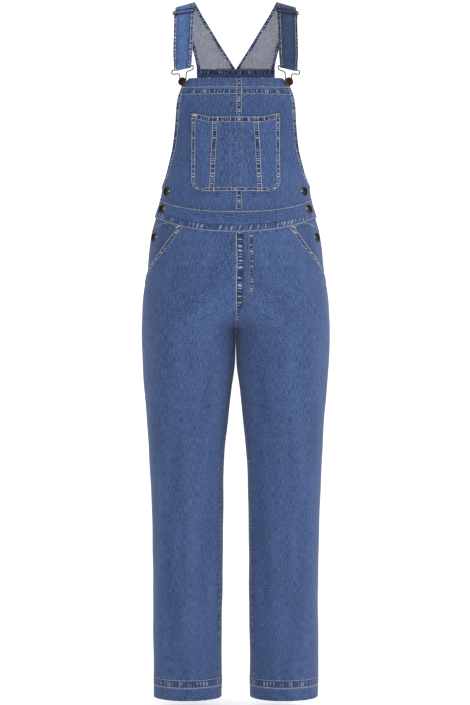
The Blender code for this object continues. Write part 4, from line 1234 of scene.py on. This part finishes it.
def strap_path():
    start, lap = length_of(STRAP_START), length_of(BACK_STRAP_END)
    slide, bar = length_of(SLIDE_AT), length_of(14.0)
    path = [(length, CLOTH + LAYER_GAP) for length in np.linspace(start, lap + 0.002, 5)]
    path += [(lap + 0.010, 0.0)]
    path += [(length, 0.0) for length in np.linspace(lap + 0.018, bar - 0.014, 15)]
    path += [(bar - 0.006, -0.0003)]
    path += arc(bar, LOOP_HEIGHT - 0.0004, LOOP_HEIGHT, -90, 90, 6)
    over = CLOTH + SEAM_GAP
    path += [(bar - 0.006, LOOP_HEIGHT + 0.0012), (bar - 0.014, over + 0.0002)]
    path += [(length, over) for length in np.linspace(bar - 0.022, slide + 0.018, 9)]
    path += [(slide + 0.010, over + 0.0006), (slide + 0.004, over + 0.0022), (slide, over + 0.0032)]
    path += arc(slide - 0.008, over + 0.0022, 0.0022, 80, 270, 7)
    return np.array(path + [(slide - 0.004, over), (slide + 0.001, over)])


def rounded(points, steps=5, closed=False):
    """A smooth curve through points."""
    around = np.concatenate((points[-1:], points, points[:2])) if closed else np.concatenate(
        (2 * points[:1] - points[1:2], points, 2 * points[-1:] - points[-2:-1]))
    found = []
    for a, b, c, d in zip(around[:-3], around[1:-2], around[2:-1], around[3:]):
        t = np.arange(steps)[:, None] / steps
        bend = (a * 2 - b * 5 + c * 4 - d) * t ** 2 / 2
        found.append(b + (c - a) * t / 2 + bend + (b * 3 - a - c * 3 + d) * t ** 3 / 2)
    return np.concatenate(found if closed else found + [points[-1:]])


# %% Make both straps, one from a more faded length than the other
STRAP_TONE = {"left": 0.46, "right": 1.50}
STRAP_SHARES = np.array((-1.0, -0.985, -0.95, -0.90, -0.84, -0.79, -0.75, -0.70, -0.6, -0.45, -0.25, 0.0,
                         0.25, 0.45, 0.6, 0.70, 0.75, 0.79, 0.84, 0.90, 0.95, 0.985, 1.0))


def strap_face(path, offset, share, side):
    """Points of a strap's face, at an offset from its path."""
    ahead = unit(np.gradient(path, axis=0))
    moved = path + np.stack((-ahead[:, 1], ahead[:, 0]), axis=1) * offset
    beyond = np.maximum(0.0, moved[:, 0] - fine_lengths[-1])[:, None, None]
    place = place_of(moved[:, 0])[:, None]
    _, across, normal = strap_frame(np.array(13.9))
    share = np.broadcast_to(share[None, :], (len(path), len(share)))
    point = strap_point(place, share, np.broadcast_to(moved[:, 1:2], share.shape))
    return (point + np.cross(across, normal) * beyond) * np.array((side, 1.0, 1.0))


strap_line = rounded(strap_path(), 4)
turn_at = int(np.argmax(strap_line[:, 0]))


def make_strap(side, word):
    outer, inner = (strap_face(strap_line, CLOTH / 2 * turn, STRAP_SHARES, side) for turn in (1, -1))
    share = np.broadcast_to(STRAP_SHARES[None, :], outer.shape[:2])
    half = run_half(place_of(strap_line[:, 0]))[:, None]
    edge = (1 - np.abs(share)) * half
    run = walked(outer, 0)[:, :1] + 0 * share
    down = nearest_strip([strip(edge, 0.0004, 0.0062, run + 0.31 * (share > 0), 1.0, 0.0)], edge.shape)
    tone = STRAP_TONE[word] * (1.0 + 0.28 * np.maximum(0.0, 1.0 - (share / 0.6) ** 2))
    mesh = shell_mesh(f"strap_{word}_cloth", outer, inner, np.stack((share * half, -run), axis=-1), down,
                      nearest_strip([], edge.shape), 0, tone)
    item = add_object(f"strap_{word}_cloth", mesh, right_side, wrong_side)
    declare(item, f"strap_{word}", grid_area(outer))


both_sides(make_strap)
print("strap, cut length:", round(float(np.linalg.norm(np.diff(strap_line, axis=0), axis=1).sum()), 3))


# %% [markdown]
# ## Stitches
# There are thousands of stitches, all the same little lens of thread, laid end to end along seams.
# Modelling them one by one would be endless and a painted line would look flat. Geometry Nodes suit
# this: a tree turns each line into a curve, sets out points at the stitch's pitch, and puts a small
# stretched ball on each one, turned along the seam and pressed to the cloth.

# %% The tree that sews
def sewing_tree():
    tree = bpy.data.node_groups.new("Rows of stitches", "GeometryNodeTree")
    tree.interface.new_socket("Lines", in_out="INPUT", socket_type="NodeSocketGeometry")
    usual = {"Pitch": 0.003, "Length": 0.0023, "Width": 0.0007, "Height": 0.0005, "Uneven": 0.14}
    for label, value in usual.items():
        socket = tree.interface.new_socket(label, in_out="INPUT", socket_type="NodeSocketFloat")
        socket.default_value = value
    tree.interface.new_socket("Seed", in_out="INPUT", socket_type="NodeSocketInt").default_value = 7
    tree.interface.new_socket("Thread", in_out="INPUT", socket_type="NodeSocketMaterial")
    tree.interface.new_socket("Stitches", in_out="OUTPUT", socket_type="NodeSocketGeometry")
    given, result = tree.nodes.new("NodeGroupInput").outputs, tree.nodes.new("NodeGroupOutput").inputs

    def step(kind, inputs, output=0, **settings):
        return node(tree, kind, inputs, **settings).outputs[output]

    curve = step("GeometryNodeMeshToCurve", {0: given["Lines"]})
    spots = step("GeometryNodeResampleCurve", {"Curve": curve, "Length": given["Pitch"]}, mode="LENGTH")
    ball = step("GeometryNodeMeshUVSphere", {"Segments": 6, "Rings": 4, "Radius": 0.5})
    lay, up = (step("GeometryNodeInputNamedAttribute", {"Name": label}, data_type="FLOAT_VECTOR")
               for label in ("lay", "up"))
    turned = step("FunctionNodeAlignRotationToVector", {"Vector": lay}, axis="X")
    turned = step("FunctionNodeAlignRotationToVector", {"Rotation": turned, "Vector": up},
                  axis="Z", pivot_axis="X")
    low, high = (maths(tree, operation, 1.0, given["Uneven"]) for operation in ("SUBTRACT", "ADD"))
    wobble = step("FunctionNodeRandomValue", {2: low, 3: high, 8: given["Seed"]}, 1, data_type="FLOAT")
    length, height = (maths(tree, "MULTIPLY", given[label], wobble) for label in ("Length", "Height"))
    size = step("ShaderNodeCombineXYZ", {0: length, 1: given["Width"], 2: height})
    placed = step("GeometryNodeInstanceOnPoints", {
        "Points": spots, "Instance": ball, "Rotation": turned, "Scale": size})
    smooth = step("GeometryNodeSetShadeSmooth", {0: step("GeometryNodeRealizeInstances", {0: placed})})
    finished = step("GeometryNodeSetMaterial", {"Geometry": smooth, "Material": given["Thread"]})
    tree.links.new(finished, result["Stitches"])
    return tree


rows_of_stitches = sewing_tree()
sewing_sockets = {
    item.name: item.identifier for item in rows_of_stitches.interface.items_tree if item.in_out == "INPUT"}
print("sewing inputs:", list(sewing_sockets))

# %% [markdown]
# A line of sewing is a run of points on a panel's finished face, with the cloth's normal at each.
# Most lines keep one distance from an edge of their panel. They are gathered by the kind of stitch
# and the part of the garment, and each group is sewn at once and kept as a plain mesh.

# %% Gather lines of sewing
STITCH_LIFT = 0.00005
lines = {}


def around_step(path):
    """The step between the neighbours of each point of a closed path."""
    return np.roll(path, -1, axis=0) - np.roll(path, 1, axis=0)


def sew(group, kind, point, up, lay=None):
    lay = unit(np.gradient(point, axis=0)) if lay is None else lay
    lines.setdefault((group, kind), []).append((point, up, lay))


def seam_row(group, kind, name, edge, distance, start, stop, inside=False):
    """A row at a distance from an edge. Start and stop are heights, or shares of the width along a hem."""
    panel = panels[name]
    away = panel[edge]
    across = edge in ("left", "right")
    if not across:
        away = away.T
    point, up = (panel[key] if across else np.swapaxes(panel[key], 0, 1)
                 for key in ("inner" if inside else "outer", "normal"))
    if inside:
        up = -up
    found, raised = [], []
    for i in range(len(away)):
        ahead = away[i] if away[i][0] < away[i][-1] else away[i][::-1]
        at = np.interp(distance, ahead, np.arange(len(ahead)))
        if away[i][0] > away[i][-1]:
            at = len(ahead) - 1 - at
        low = min(int(at), len(ahead) - 2)
        spot = point[i, low] * (1 - at + low) + point[i, low + 1] * (at - low)
        if stop <= (spot[2] if across else i / (len(away) - 1)) <= start:
            found.append(spot)
            raised.append(up[i, low])
    if len(found) > 1:
        found, raised = np.array(found), np.array(raised)
        sew(group, kind, found + raised * STITCH_LIFT, raised)


def front_line(group, kind, side, x, z, height, lay=None):
    """A free line on the front, from distances to the middle and heights."""
    x, z = np.asarray(x, dtype=float), np.asarray(z, dtype=float)
    angle = angle_at(x, z)
    point, up = form_point(side, angle, z), form_normal(side, angle, z)
    point = (point + up * height) * np.array((side, 1.0, 1.0))
    up = up * np.array((side, 1.0, 1.0))
    if lay is not None:
        lay = unit(np.cross(up, unit(np.gradient(point, axis=0))))
    sew(group, kind, point, up, lay)


# %% [markdown]
# The legs have rows on both sides of the fly, down the inseams, along the slanted pockets and round
# the hems. The fly's curved rows are tan. The picture gives their distances from each seam.

# %% Sew the legs
def sew_rows(*rows):
    """Rows of sewing: group, kind, panel, edge, distances from it, and start and stop if not all along."""
    for group, kind, name, edge, distances, *span in rows:
        for distance in distances:
            seam_row(group, kind, name, edge, distance, *(span or (1.0, 0.0)))


for side, word in SIDES:
    front, rear = f"leg_front_{word}", f"leg_back_{word}"
    sew_rows(("legs", "cream", front, "left", (0.0020, 0.0105), -0.4330, -0.5560),
             ("legs", "faded", front, "right", (0.0018, 0.0076), -0.6560, -1.3290),
             ("legs", "cream", front, "bottom", (0.0255, 0.0398)),
             ("legs_back", "cream", rear, "bottom", (0.0255, 0.0398)),
             ("legs_back", "cream", rear, "left", (0.0020, 0.0085), -0.4250, -0.5700))
sew_rows(("legs", "cream", "leg_front_left", "right", (0.0014,), -0.4560, -0.6450),
         ("legs", "faded", "leg_front_left", "right", (0.0084,), -0.6030, -0.6450),
         ("legs_back", "cream", "leg_back_left", "right", (0.0018, 0.0085), -0.4250, -0.6400))
for near, low in ((0.0262, -0.5830), (0.0340, -0.5892)):
    bend = np.linspace(0.0, math.pi / 2, 14)
    x = np.concatenate((np.full(18, near), 0.0095 + (near - 0.0095) * np.cos(bend)[1:]))
    z = np.concatenate((np.linspace(-0.4555, -0.5620, 18), -0.5620 + (low + 0.5620) * np.sin(bend)[1:]))
    front_line("legs", "tan", 1, x, z, 0.0006)

# %% Sew the waistband, the bib and the back
for name in ("waistband_front", "waistband_back"):
    sew_rows(("body", "cream", name, "top", (0.0026,)), ("body", "cream", name, "bottom", (0.0017,)))
for side, word in SIDES:
    bib, rear = f"bib_{word}", f"back_{word}"
    sew_rows(("body", "cream", bib, "level", (0.0182,), 0.975, 0.0),
             ("body", "cream", bib, "level", (0.0316,), 0.985, 0.0),
             ("body", "faded", bib, "top", (0.0018,), 0.97, 0.0),
             ("body", "cream", bib, "right", (0.0070,), -0.1650, -0.3620),
             ("body_back", "cream", rear, "left", (0.0070,), -0.1600, -0.3450),
             ("body", "cream", f"pocket_facing_{word}", "right", (0.0065,), -0.4560, -0.5400))
    x = np.linspace(0.1180, 0.1560, 12)
    z = -0.4350 - 0.0070 * np.abs((x - 0.138) / 0.019) ** 2
    front_line("body", "cream", side, x, z, 0.0002 - CLOTH - LAYER_GAP)
for distance in (0.0023, 0.0107):
    sew_rows(("body", "cream", "bib_left", "left", (distance,), -0.1565, -0.2290),
             ("body", "cream", "bib_left", "left", (distance,), -0.3765, -0.4110))
sew_rows(("body_back", "cream", "back_left", "right", (0.0018, 0.0095), -0.1610, -0.3850),
         ("body_back", "cream", "back_band", "top", (0.0030, 0.0115)),
         ("body_back", "faded", "back_band", "top", (0.0030, 0.0115), 1.0, 0.0, True),
         ("body_back", "cream", "back_band", "bottom", (0.0020,)))

# %% Sew the chest pocket
for name in ("chest_pocket_left", "chest_pocket_centre", "chest_pocket_right"):
    sew_rows(("pocket", "cream", name, "top", (0.0012, 0.0100)),
             ("pocket", "cream", name, "bottom", (0.0012, 0.0068)))
sew_rows(("pocket", "cream", "chest_pocket_left", "right", (0.0012, 0.0068), -0.2260, -0.3700),
         ("pocket", "cream", "chest_pocket_right", "left", (0.0012, 0.0068), -0.2260, -0.3700),
         ("pocket", "cream", "chest_pocket_centre", "left", (0.0015, 0.0095), -0.2260, -0.3800),
         ("pocket", "cream", "chest_pocket_centre", "right", (0.0015, 0.0095), -0.2260, -0.3800))
for side, x in ((-1, 0.0108), (1, 0.0124)):
    z = np.linspace(POCKET_TOP - POCKET_DIP - 0.010, POCKET_BOTTOM + 0.0070, 40)
    front_line("pocket", "tan", side, np.full(40, x), z, POCKET_LIFT + CLOTH + 0.0002)

# %% Sew the straps
for side, word in SIDES:
    arm = panels[f"back_strap_{word}"]
    for inside in (False, True):
        for share in (-1, 1):
            other_side = 9.0 * (ARM_SHARES * share < 0)
            pick = [int(np.argmin(np.abs(row - ARM_HEM) + other_side)) for row in arm["left"]]
            point = np.array([arm["inner" if inside else "outer"][i, j] for i, j in enumerate(pick)])
            up = np.array([arm["normal"][i, j] for i, j in enumerate(pick)]) * (-1 if inside else 1)
            point = rounded(point[::4], 4)
            up = unit(rounded(up[::4], 4))
            sew("straps", "cream", point + up * STITCH_LIFT, up)
    for share in (-0.77, 0.77):
        for first, last, turn in ((2, turn_at - 12, 1), (turn_at + 12, len(strap_line) - 36, -1)):
            shares = np.array((share - 0.01, share, share + 0.01))
            face = strap_face(strap_line, CLOTH / 2 * turn + 0.00008 * turn, shares, side)[first:last]
            up = unit(np.cross(np.gradient(face[:, 1], axis=0), face[:, 2] - face[:, 0])) * side * turn
            from_inside = face[:, 1] - np.array((side * 0.1, 0.0, -0.2))
            up *= np.sign(np.sum(up * from_inside, axis=1, keepdims=True))
            sew("straps", "cream", face[:, 1], up)
print("lines of sewing:", sum(len(found) for found in lines.values()))


# %% [markdown]
# Bar tacks hold the ends of pockets and the fly: short, dense stitches laid across their own line.
# A buttonhole is the same stitch all round a narrow slot, with a round eye at the button's end.

# %% Bar tacks and buttonholes
HOLE_LENGTH, HOLE_HALF, HOLE_LEAN = 0.0165, 0.0011, -4.0


def tack(kind, side, start, end, height):
    share = np.linspace(0.0, 1.0, 6)
    x, z = (start[i] + (end[i] - start[i]) * share for i in (0, 1))
    front_line("tacks", kind, side, x, z, height, lay=True)


def buttonhole(side, angle, z, height):
    turn = np.linspace(0.0, 2 * math.pi, 41)[:-1]
    u = HOLE_LENGTH / 2 * np.cos(turn)
    v = HOLE_HALF * signed_power(np.sin(turn), 0.6) * (1 + 0.6 * ease((-u / HOLE_LENGTH - 0.25) / 0.2))
    lean = math.radians(HOLE_LEAN)
    reach = float(np.hypot(*form_point(side, angle, z)[:2])) if z > CROTCH_Z else 0.09
    middle = -HOLE_LENGTH * 0.42
    du = (middle + u) * math.cos(lean) - v * math.sin(lean)
    dv = (middle + u) * math.sin(lean) + v * math.cos(lean)
    angles, heights = angle + np.degrees(du / reach), z + dv
    point, up = form_point(side, angles, heights), form_normal(side, angles, heights)
    mirror = np.array((side, 1.0, 1.0))
    point, up = (point + up * height) * mirror, up * mirror
    ahead = unit(around_step(point))
    point, up, ahead = (np.concatenate((part, part[:1])) for part in (point, up, ahead))
    sew("tacks", "hole", point, up, unit(np.cross(up, ahead)))


SIDE_BUTTONS = ((64.0, -0.3735), (66.0, -0.4080), (71.0, -0.4630))
HOLE_LIFTS = (0.0011, WAISTBAND_PROUD + 0.0008, 0.0003 - CLOTH - LAYER_GAP)
for side in (1, -1):
    tack("tack", side, (0.1165, -0.4445), (0.1080, -0.4425), 0.0014)
    tack("gold" if side > 0 else "tack", side, (0.0750, -0.2285), (0.0820, -0.2285),
         POCKET_LIFT + CLOTH + 0.0005)
    for (angle, z), lift in zip(SIDE_BUTTONS, HOLE_LIFTS):
        buttonhole(side, angle, z, lift)
tack("gold", 1, (0.0020, -0.5900), (0.0105, -0.5895), 0.0011)

# %% Turn every gathered line into stitches: each kind's thread, pitch, length, width and height
KINDS = {
    "cream": (cream_thread, 0.0030, 0.0024, 0.00085, 0.00060),
    "faded": (blue_thread, 0.0030, 0.0023, 0.00070, 0.00050),
    "tan": (tan_thread, 0.0028, 0.0024, 0.00115, 0.00055),
    "tack": (cream_thread, 0.0006, 0.0030, 0.00055, 0.0008),
    "gold": (gold_thread, 0.0006, 0.0034, 0.00055, 0.0009),
    "hole": (cream_thread, 0.0006, 0.0016, 0.00060, 0.0007),
}


def plain_mesh(item, name):
    """The evaluated mesh of an object with a modifier, as an object of its own."""
    evaluated = item.evaluated_get(bpy.context.evaluated_depsgraph_get())
    mesh = bpy.data.meshes.new_from_object(evaluated)
    item.modifiers.clear()
    bpy.data.objects.remove(item, do_unlink=True)
    mesh.name = name
    return mesh


def stitch(group, kind, found):
    material, *sizes = KINDS[kind]
    counts = [len(point) for point, _, _ in found]
    starts = np.concatenate(([0], np.cumsum(counts)))
    mesh = bpy.data.meshes.new("line")
    edges = [(start + i, start + i + 1) for start, count in zip(starts, counts) for i in range(count - 1)]
    mesh.from_pydata(np.concatenate([point for point, _, _ in found]).tolist(), edges, [])
    for label, index in (("up", 1), ("lay", 2)):
        mesh.attributes.new(label, "FLOAT_VECTOR", "POINT").data.foreach_set(
            "vector", np.concatenate([entry[index] for entry in found]).ravel())
    item = add_object("line", mesh)
    modifier = item.modifiers.new("sewing", "NODES")
    modifier.node_group = rows_of_stitches
    for label, value in zip(("Pitch", "Length", "Width", "Height"), sizes):
        modifier[sewing_sockets[label]] = value
    modifier[sewing_sockets["Thread"]] = material
    name = f"stitches_{group}_{kind}"
    sewn = add_object(name, plain_mesh(item, name))
    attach(sewn, "root")
    return len(sewn.data.polygons)


made = {f"{group} {kind}": stitch(group, kind, found) for (group, kind), found in lines.items()}
print("stitch faces:", made)


# %% [markdown]
# ## Buttons, slides and buckles
# The metal pieces could be built from primitives, but a jeans button is really a turned shape and the
# slides and buckles are bent wire. So a button is its half outline swept round an axis, and the wire
# pieces are a round section carried along a smooth path. Every point also gets a number for how far
# it is rubbed: the raised rims are, the hollows aren't. The motif of a button is only plain rings.

# %% Helpers for metal
WIRE_SIDES = 12


def metal_piece(node_name, points, faces, rubbed, side):
    mesh = bpy.data.meshes.new(node_name + "_metal")
    mesh.from_pydata((np.asarray(points) * np.array((side, 1.0, 1.0))).tolist(), [], faces)
    mesh.attributes.new("worn", "FLOAT", "POINT").data.foreach_set("value", np.asarray(rubbed, dtype=float))
    item = add_object(node_name + "_metal", face_outwards(mesh, 50), antique_brass)
    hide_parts(node_name)
    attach(item, "root")


def tube(path, up, radius, closed):
    """Points and faces of a round wire along a path. The vector up only sets where its sides start."""
    ahead = unit(around_step(path) if closed else np.gradient(path, axis=0))
    beside = unit(np.cross(ahead, up))
    raised = np.cross(beside, ahead)
    turn = np.linspace(0.0, 2 * math.pi, WIRE_SIDES, endpoint=False)[None, :, None]
    points = path[:, None] + radius * (beside[:, None] * np.cos(turn) + raised[:, None] * np.sin(turn))
    faces = []
    for i in range(len(path) if closed else len(path) - 1):
        here, there = i * WIRE_SIDES, (i + 1) % len(path) * WIRE_SIDES
        for j in range(WIRE_SIDES):
            k = (j + 1) % WIRE_SIDES
            faces.append((here + j, here + k, there + k, there + j))
    if not closed:
        last = (len(path) - 1) * WIRE_SIDES
        faces += [tuple(range(WIRE_SIDES)), tuple(range(last, last + WIRE_SIDES))]
    return points.reshape(-1, 3), faces


# %% Buttons, turned from a half outline: radius, height over the cap's underside, and wear
TURNS = 36
BUTTON_CAP = (
    (0.0074, 0.0000, 0.2), (0.0082, 0.0004, 0.4), (0.0085, 0.0011, 0.5), (0.0083, 0.0020, 0.6),
    (0.0078, 0.0025, 0.7), (0.0071, 0.0024, 0.3), (0.0066, 0.0019, 0.0), (0.0058, 0.0018, 0.0),
    (0.0050, 0.0020, 0.1), (0.0044, 0.0026, 0.4), (0.0038, 0.0029, 0.4), (0.0031, 0.0028, 0.1),
    (0.0024, 0.0023, 0.0), (0.0012, 0.0022, 0.0), (0.0, 0.0023, 0.1),
)


def button(node_name, side, seat, out, stem_radius, stem_height):
    outline = [(0.0, SEAM_GAP, 0.0), (stem_radius, SEAM_GAP, 0.0), (stem_radius, stem_height - 0.0002, 0.0)]
    outline += [(radius, stem_height + height, rubbed) for radius, height, rubbed in BUTTON_CAP]
    beside = unit(np.cross(out, (0.0, 0.0, 1.0)))
    raised = np.cross(beside, out)
    turn = np.linspace(0.0, 2 * math.pi, TURNS, endpoint=False)[:, None]
    points, rubbed, faces = [seat + out * outline[0][1]], [0.0], []
    for radius, height, worn_here in outline[1:-1]:
        points += list(seat + out * height + radius * (beside * np.cos(turn) + raised * np.sin(turn)))
        rubbed += [worn_here] * TURNS
    points.append(seat + out * outline[-1][1])
    rubbed.append(outline[-1][2])
    for i in range(TURNS):
        j = (i + 1) % TURNS
        faces.append((0, 1 + j, 1 + i))
        for low in range(1, 1 + (len(outline) - 3) * TURNS, TURNS):
            faces.append((low + i, low + j, low + TURNS + j, low + TURNS + i))
        faces.append((len(points) - 1 - TURNS + i, len(points) - 1 - TURNS + j, len(points) - 1))
    metal_piece(node_name, points, faces, rubbed, side)


BIB_BUTTON = (0.1020, -0.1625)
SEAT_LIFTS = (0.0, WAISTBAND_PROUD, -CLOTH - LAYER_GAP)
bib_angle = angle_at(*BIB_BUTTON)
bib_seat, bib_out = form_point(1, bib_angle, BIB_BUTTON[1]), form_normal(1, bib_angle, BIB_BUTTON[1])
for side, word in SIDES:
    button(f"bib_button_{word}", side, bib_seat, bib_out, 0.0040, 0.0037)
    for number, ((angle, z), raised) in enumerate(zip(SIDE_BUTTONS, SEAT_LIFTS), start=1):
        out = form_normal(side, angle, z)
        seat = form_point(side, angle, z) + out * raised
        button(f"side_button_{word}_{number}", side, seat, out, 0.0051, 0.0009)
print("buttons:", 2 + 2 * len(SIDE_BUTTONS))

# %% [markdown]
# A buckle is one closed wire. Its bar lies in the fold of the strap, two ears turn down from the
# bar's ends, and the wire narrows to a loop that hooks under the cap of the bib's button. Places on
# it are measured from the button's seat: sideways, up towards the strap, and how much they follow
# the strap's tilt rather than the bib's.

# %% Buckles: half of the wire by the bar (sideways, up, tilt), then the loop by the button (sideways, up)
BUCKLE_HALF = (
    (0.0190, -0.0000, 1.0), (0.0216, -0.0012, 1.0), (0.0226, -0.0040, 1.0), (0.0216, -0.0068, 0.9),
    (0.0188, -0.0078, 0.8), (0.0110, -0.0084, 0.55), (0.0078, -0.0100, 0.4), (0.0066, -0.0135, 0.2),
)
BUCKLE_LOOP = ((0.0064, 0.0030), (0.0056, -0.0020), (0.0034, -0.0054), (0.0, -0.0064))
WIRE_RADIUS = 0.0011
WIRE_LIFT = 0.0019


def buckle(side, word):
    bar, across, normal = (entry.reshape(3) for entry in strap_frame(np.array([14.0])))
    bar = bar + normal * (LOOP_HEIGHT - 0.0004)
    up = bar - bib_seat
    up = unit(up - bib_out * np.dot(up, bib_out))
    flat = unit(across - bib_out * np.dot(across, bib_out))
    reach, lift = float(np.dot(bar - bib_seat, up)), float(np.dot(bar - bib_seat, bib_out))
    half = [(u, reach + v, tilt) for u, v, tilt in BUCKLE_HALF] + [(u, v, 0.0) for u, v in BUCKLE_LOOP]
    path = []
    for u, v, tilt in [(-u, v, tilt) for u, v, tilt in half] + half[-2::-1]:
        sideways = unit(across * tilt + flat * (1 - tilt))
        path.append(bib_seat + sideways * u + up * v + bib_out * (WIRE_LIFT + (lift - WIRE_LIFT) * tilt))
    path = rounded(np.array(path), 5, closed=True)
    points, faces = tube(path, bib_out, WIRE_RADIUS, True)
    metal_piece(f"buckle_{word}", points, faces, np.full(len(points), 0.20), side)


both_sides(buckle)

# %% [markdown]
# A slide has a round wire frame and a middle bar. The strap passes under the frame's lower bar, over
# the middle bar and back, so the frame leans: its lower bar stands clear of the cloth and its upper
# end lies on it.

# %% Slides: places along the strap and their heights, from the lower bar to the upper one
SLIDE_LEAN = ((-0.0170, 0.0005), (-0.0088, 0.0022), (-0.0008, 0.0052), (0.0014, 0.0052))
SLIDE_HALF = (
    (0.0003, 0.0), (0.0003, 0.35), (0.0003, 0.7), (0.0003, 0.93), (-0.0001, 1.05), (-0.0016, 1.12),
    (-0.0050, 1.12), (-0.0100, 1.12), (-0.0146, 1.12), (-0.0160, 1.06), (-0.0163, 0.93), (-0.0163, 0.7),
    (-0.0163, 0.35),
)
SLIDE_WIRE = 0.00095


def slide_points(lengths, shares):
    height = CLOTH + SEAM_GAP + np.interp(lengths, *zip(*SLIDE_LEAN))
    place = place_of(length_of(SLIDE_AT) + lengths)
    return strap_point(place, shares, height), strap_frame(place)[2]


def slide(side, word):
    whole = SLIDE_HALF + ((-0.0163, 0.0),) + tuple((length, -share) for length, share in SLIDE_HALF[:0:-1])
    path, up = (rounded(part, 4, closed=True) for part in slide_points(*np.array(whole).T))
    frame_points, frame_faces = tube(path, unit(up), SLIDE_WIRE, True)
    shares = np.linspace(-1.10, 1.10, 12)
    path, up = slide_points(np.full(12, -0.0080), shares)
    bar_points, bar_faces = tube(path, up, SLIDE_WIRE * 0.9, False)
    faces = frame_faces + [tuple(corner + len(frame_points) for corner in face) for face in bar_faces]
    points = np.concatenate((frame_points, bar_points))
    metal_piece(f"slide_{word}", points, faces, np.full(len(points), 0.28), side)


both_sides(slide)


# %% [markdown]
# ## Floor, light and camera
# The picture shows the garment from the front, at the height of the hips and from some metres away,
# on white. A pale floor lies just under the hems and sweeps up behind, and it glows a little, as a
# lit studio wall does. Soft light comes from all round, and the broad main light stands to the
# right, because the picture's legs are brightest on their right sides.

# %% A pale floor that sweeps up behind
FLOOR_Z, SWEEP_Y, SWEEP = -1.396, 7.8, 1.2


def make_floor():
    turn = np.linspace(0.1, math.pi / 2, 12)
    depth = np.concatenate((np.linspace(-9.0, SWEEP_Y, 8), SWEEP_Y + SWEEP * np.sin(turn), (9.0, 9.0)))
    height = np.concatenate((np.zeros(8), SWEEP - SWEEP * np.cos(turn), (3.0, 6.0)))
    points = [(x, y, FLOOR_Z + z) for y, z in zip(depth, height) for x in (-9.0, 9.0)]
    faces = [(2 * i, 2 * i + 1, 2 * i + 3, 2 * i + 2) for i in range(len(depth) - 1)]
    mesh = bpy.data.meshes.new("floor")
    mesh.from_pydata(points, [], faces)
    mesh.shade_smooth()
    pale, tree, shader = new_material("pale_floor", (0.8, 0.8, 0.8))
    tone = noise(tree, node(tree, "ShaderNodeTexCoord").outputs["Object"], (1.5, 1.5, 1.5), 2.0, 0.5)
    fill(tree, shader, {
        "Base Color": mixed(tree, tone, (0.90, 0.90, 0.90, 1.0), (0.93, 0.93, 0.93, 1.0)),
        "Roughness": 0.9, "Specular IOR Level": 0.1,
        "Emission Color": (1.0, 1.0, 1.0, 1.0), "Emission Strength": 0.44})
    add_object("floor", mesh, pale)


make_floor()


# %% Soft light all round, a broad light on the right and a weaker one in front
def broad_light(name, place, size, power):
    lamp = bpy.data.lights.new(name, "AREA")
    lamp.shape, lamp.size, lamp.size_y, lamp.energy = "RECTANGLE", size[0], size[1], power
    item = add_object(name, lamp)
    item.location = place
    item.rotation_euler = (Vector(AIM) - item.location).to_track_quat("-Z", "Y").to_euler()


AIM = (0.0, 0.0, -0.65)
world = bpy.data.worlds.new("studio")
bpy.context.scene.world = world
world.use_nodes = True
fill(world.node_tree, world.node_tree.nodes["Background"], {"Color": (1.0, 1.0, 1.0, 1.0), "Strength": 0.63})
broad_light("side_light", (3.2, -1.6, 0.3), (1.6, 2.8), 62.0)
broad_light("front_light", (-0.5, -3.8, 0.8), (2.4, 2.2), 38.0)

# %% The camera
lens = bpy.data.cameras.new("photo_camera")
camera = add_object("photo_camera", lens)
camera.location = (0.0, -5.0, -0.586)
camera.rotation_euler = (math.radians(90.0), 0.0, 0.0)
lens.sensor_fit = "AUTO"
lens.sensor_width = 36.0
lens.lens = 128.9
lens.shift_x = -0.001
lens.shift_y = -0.0745
bpy.context.scene.camera = camera
bpy.context.scene.view_settings.view_transform = "Standard"
bpy.context.scene.view_settings.look = "None"
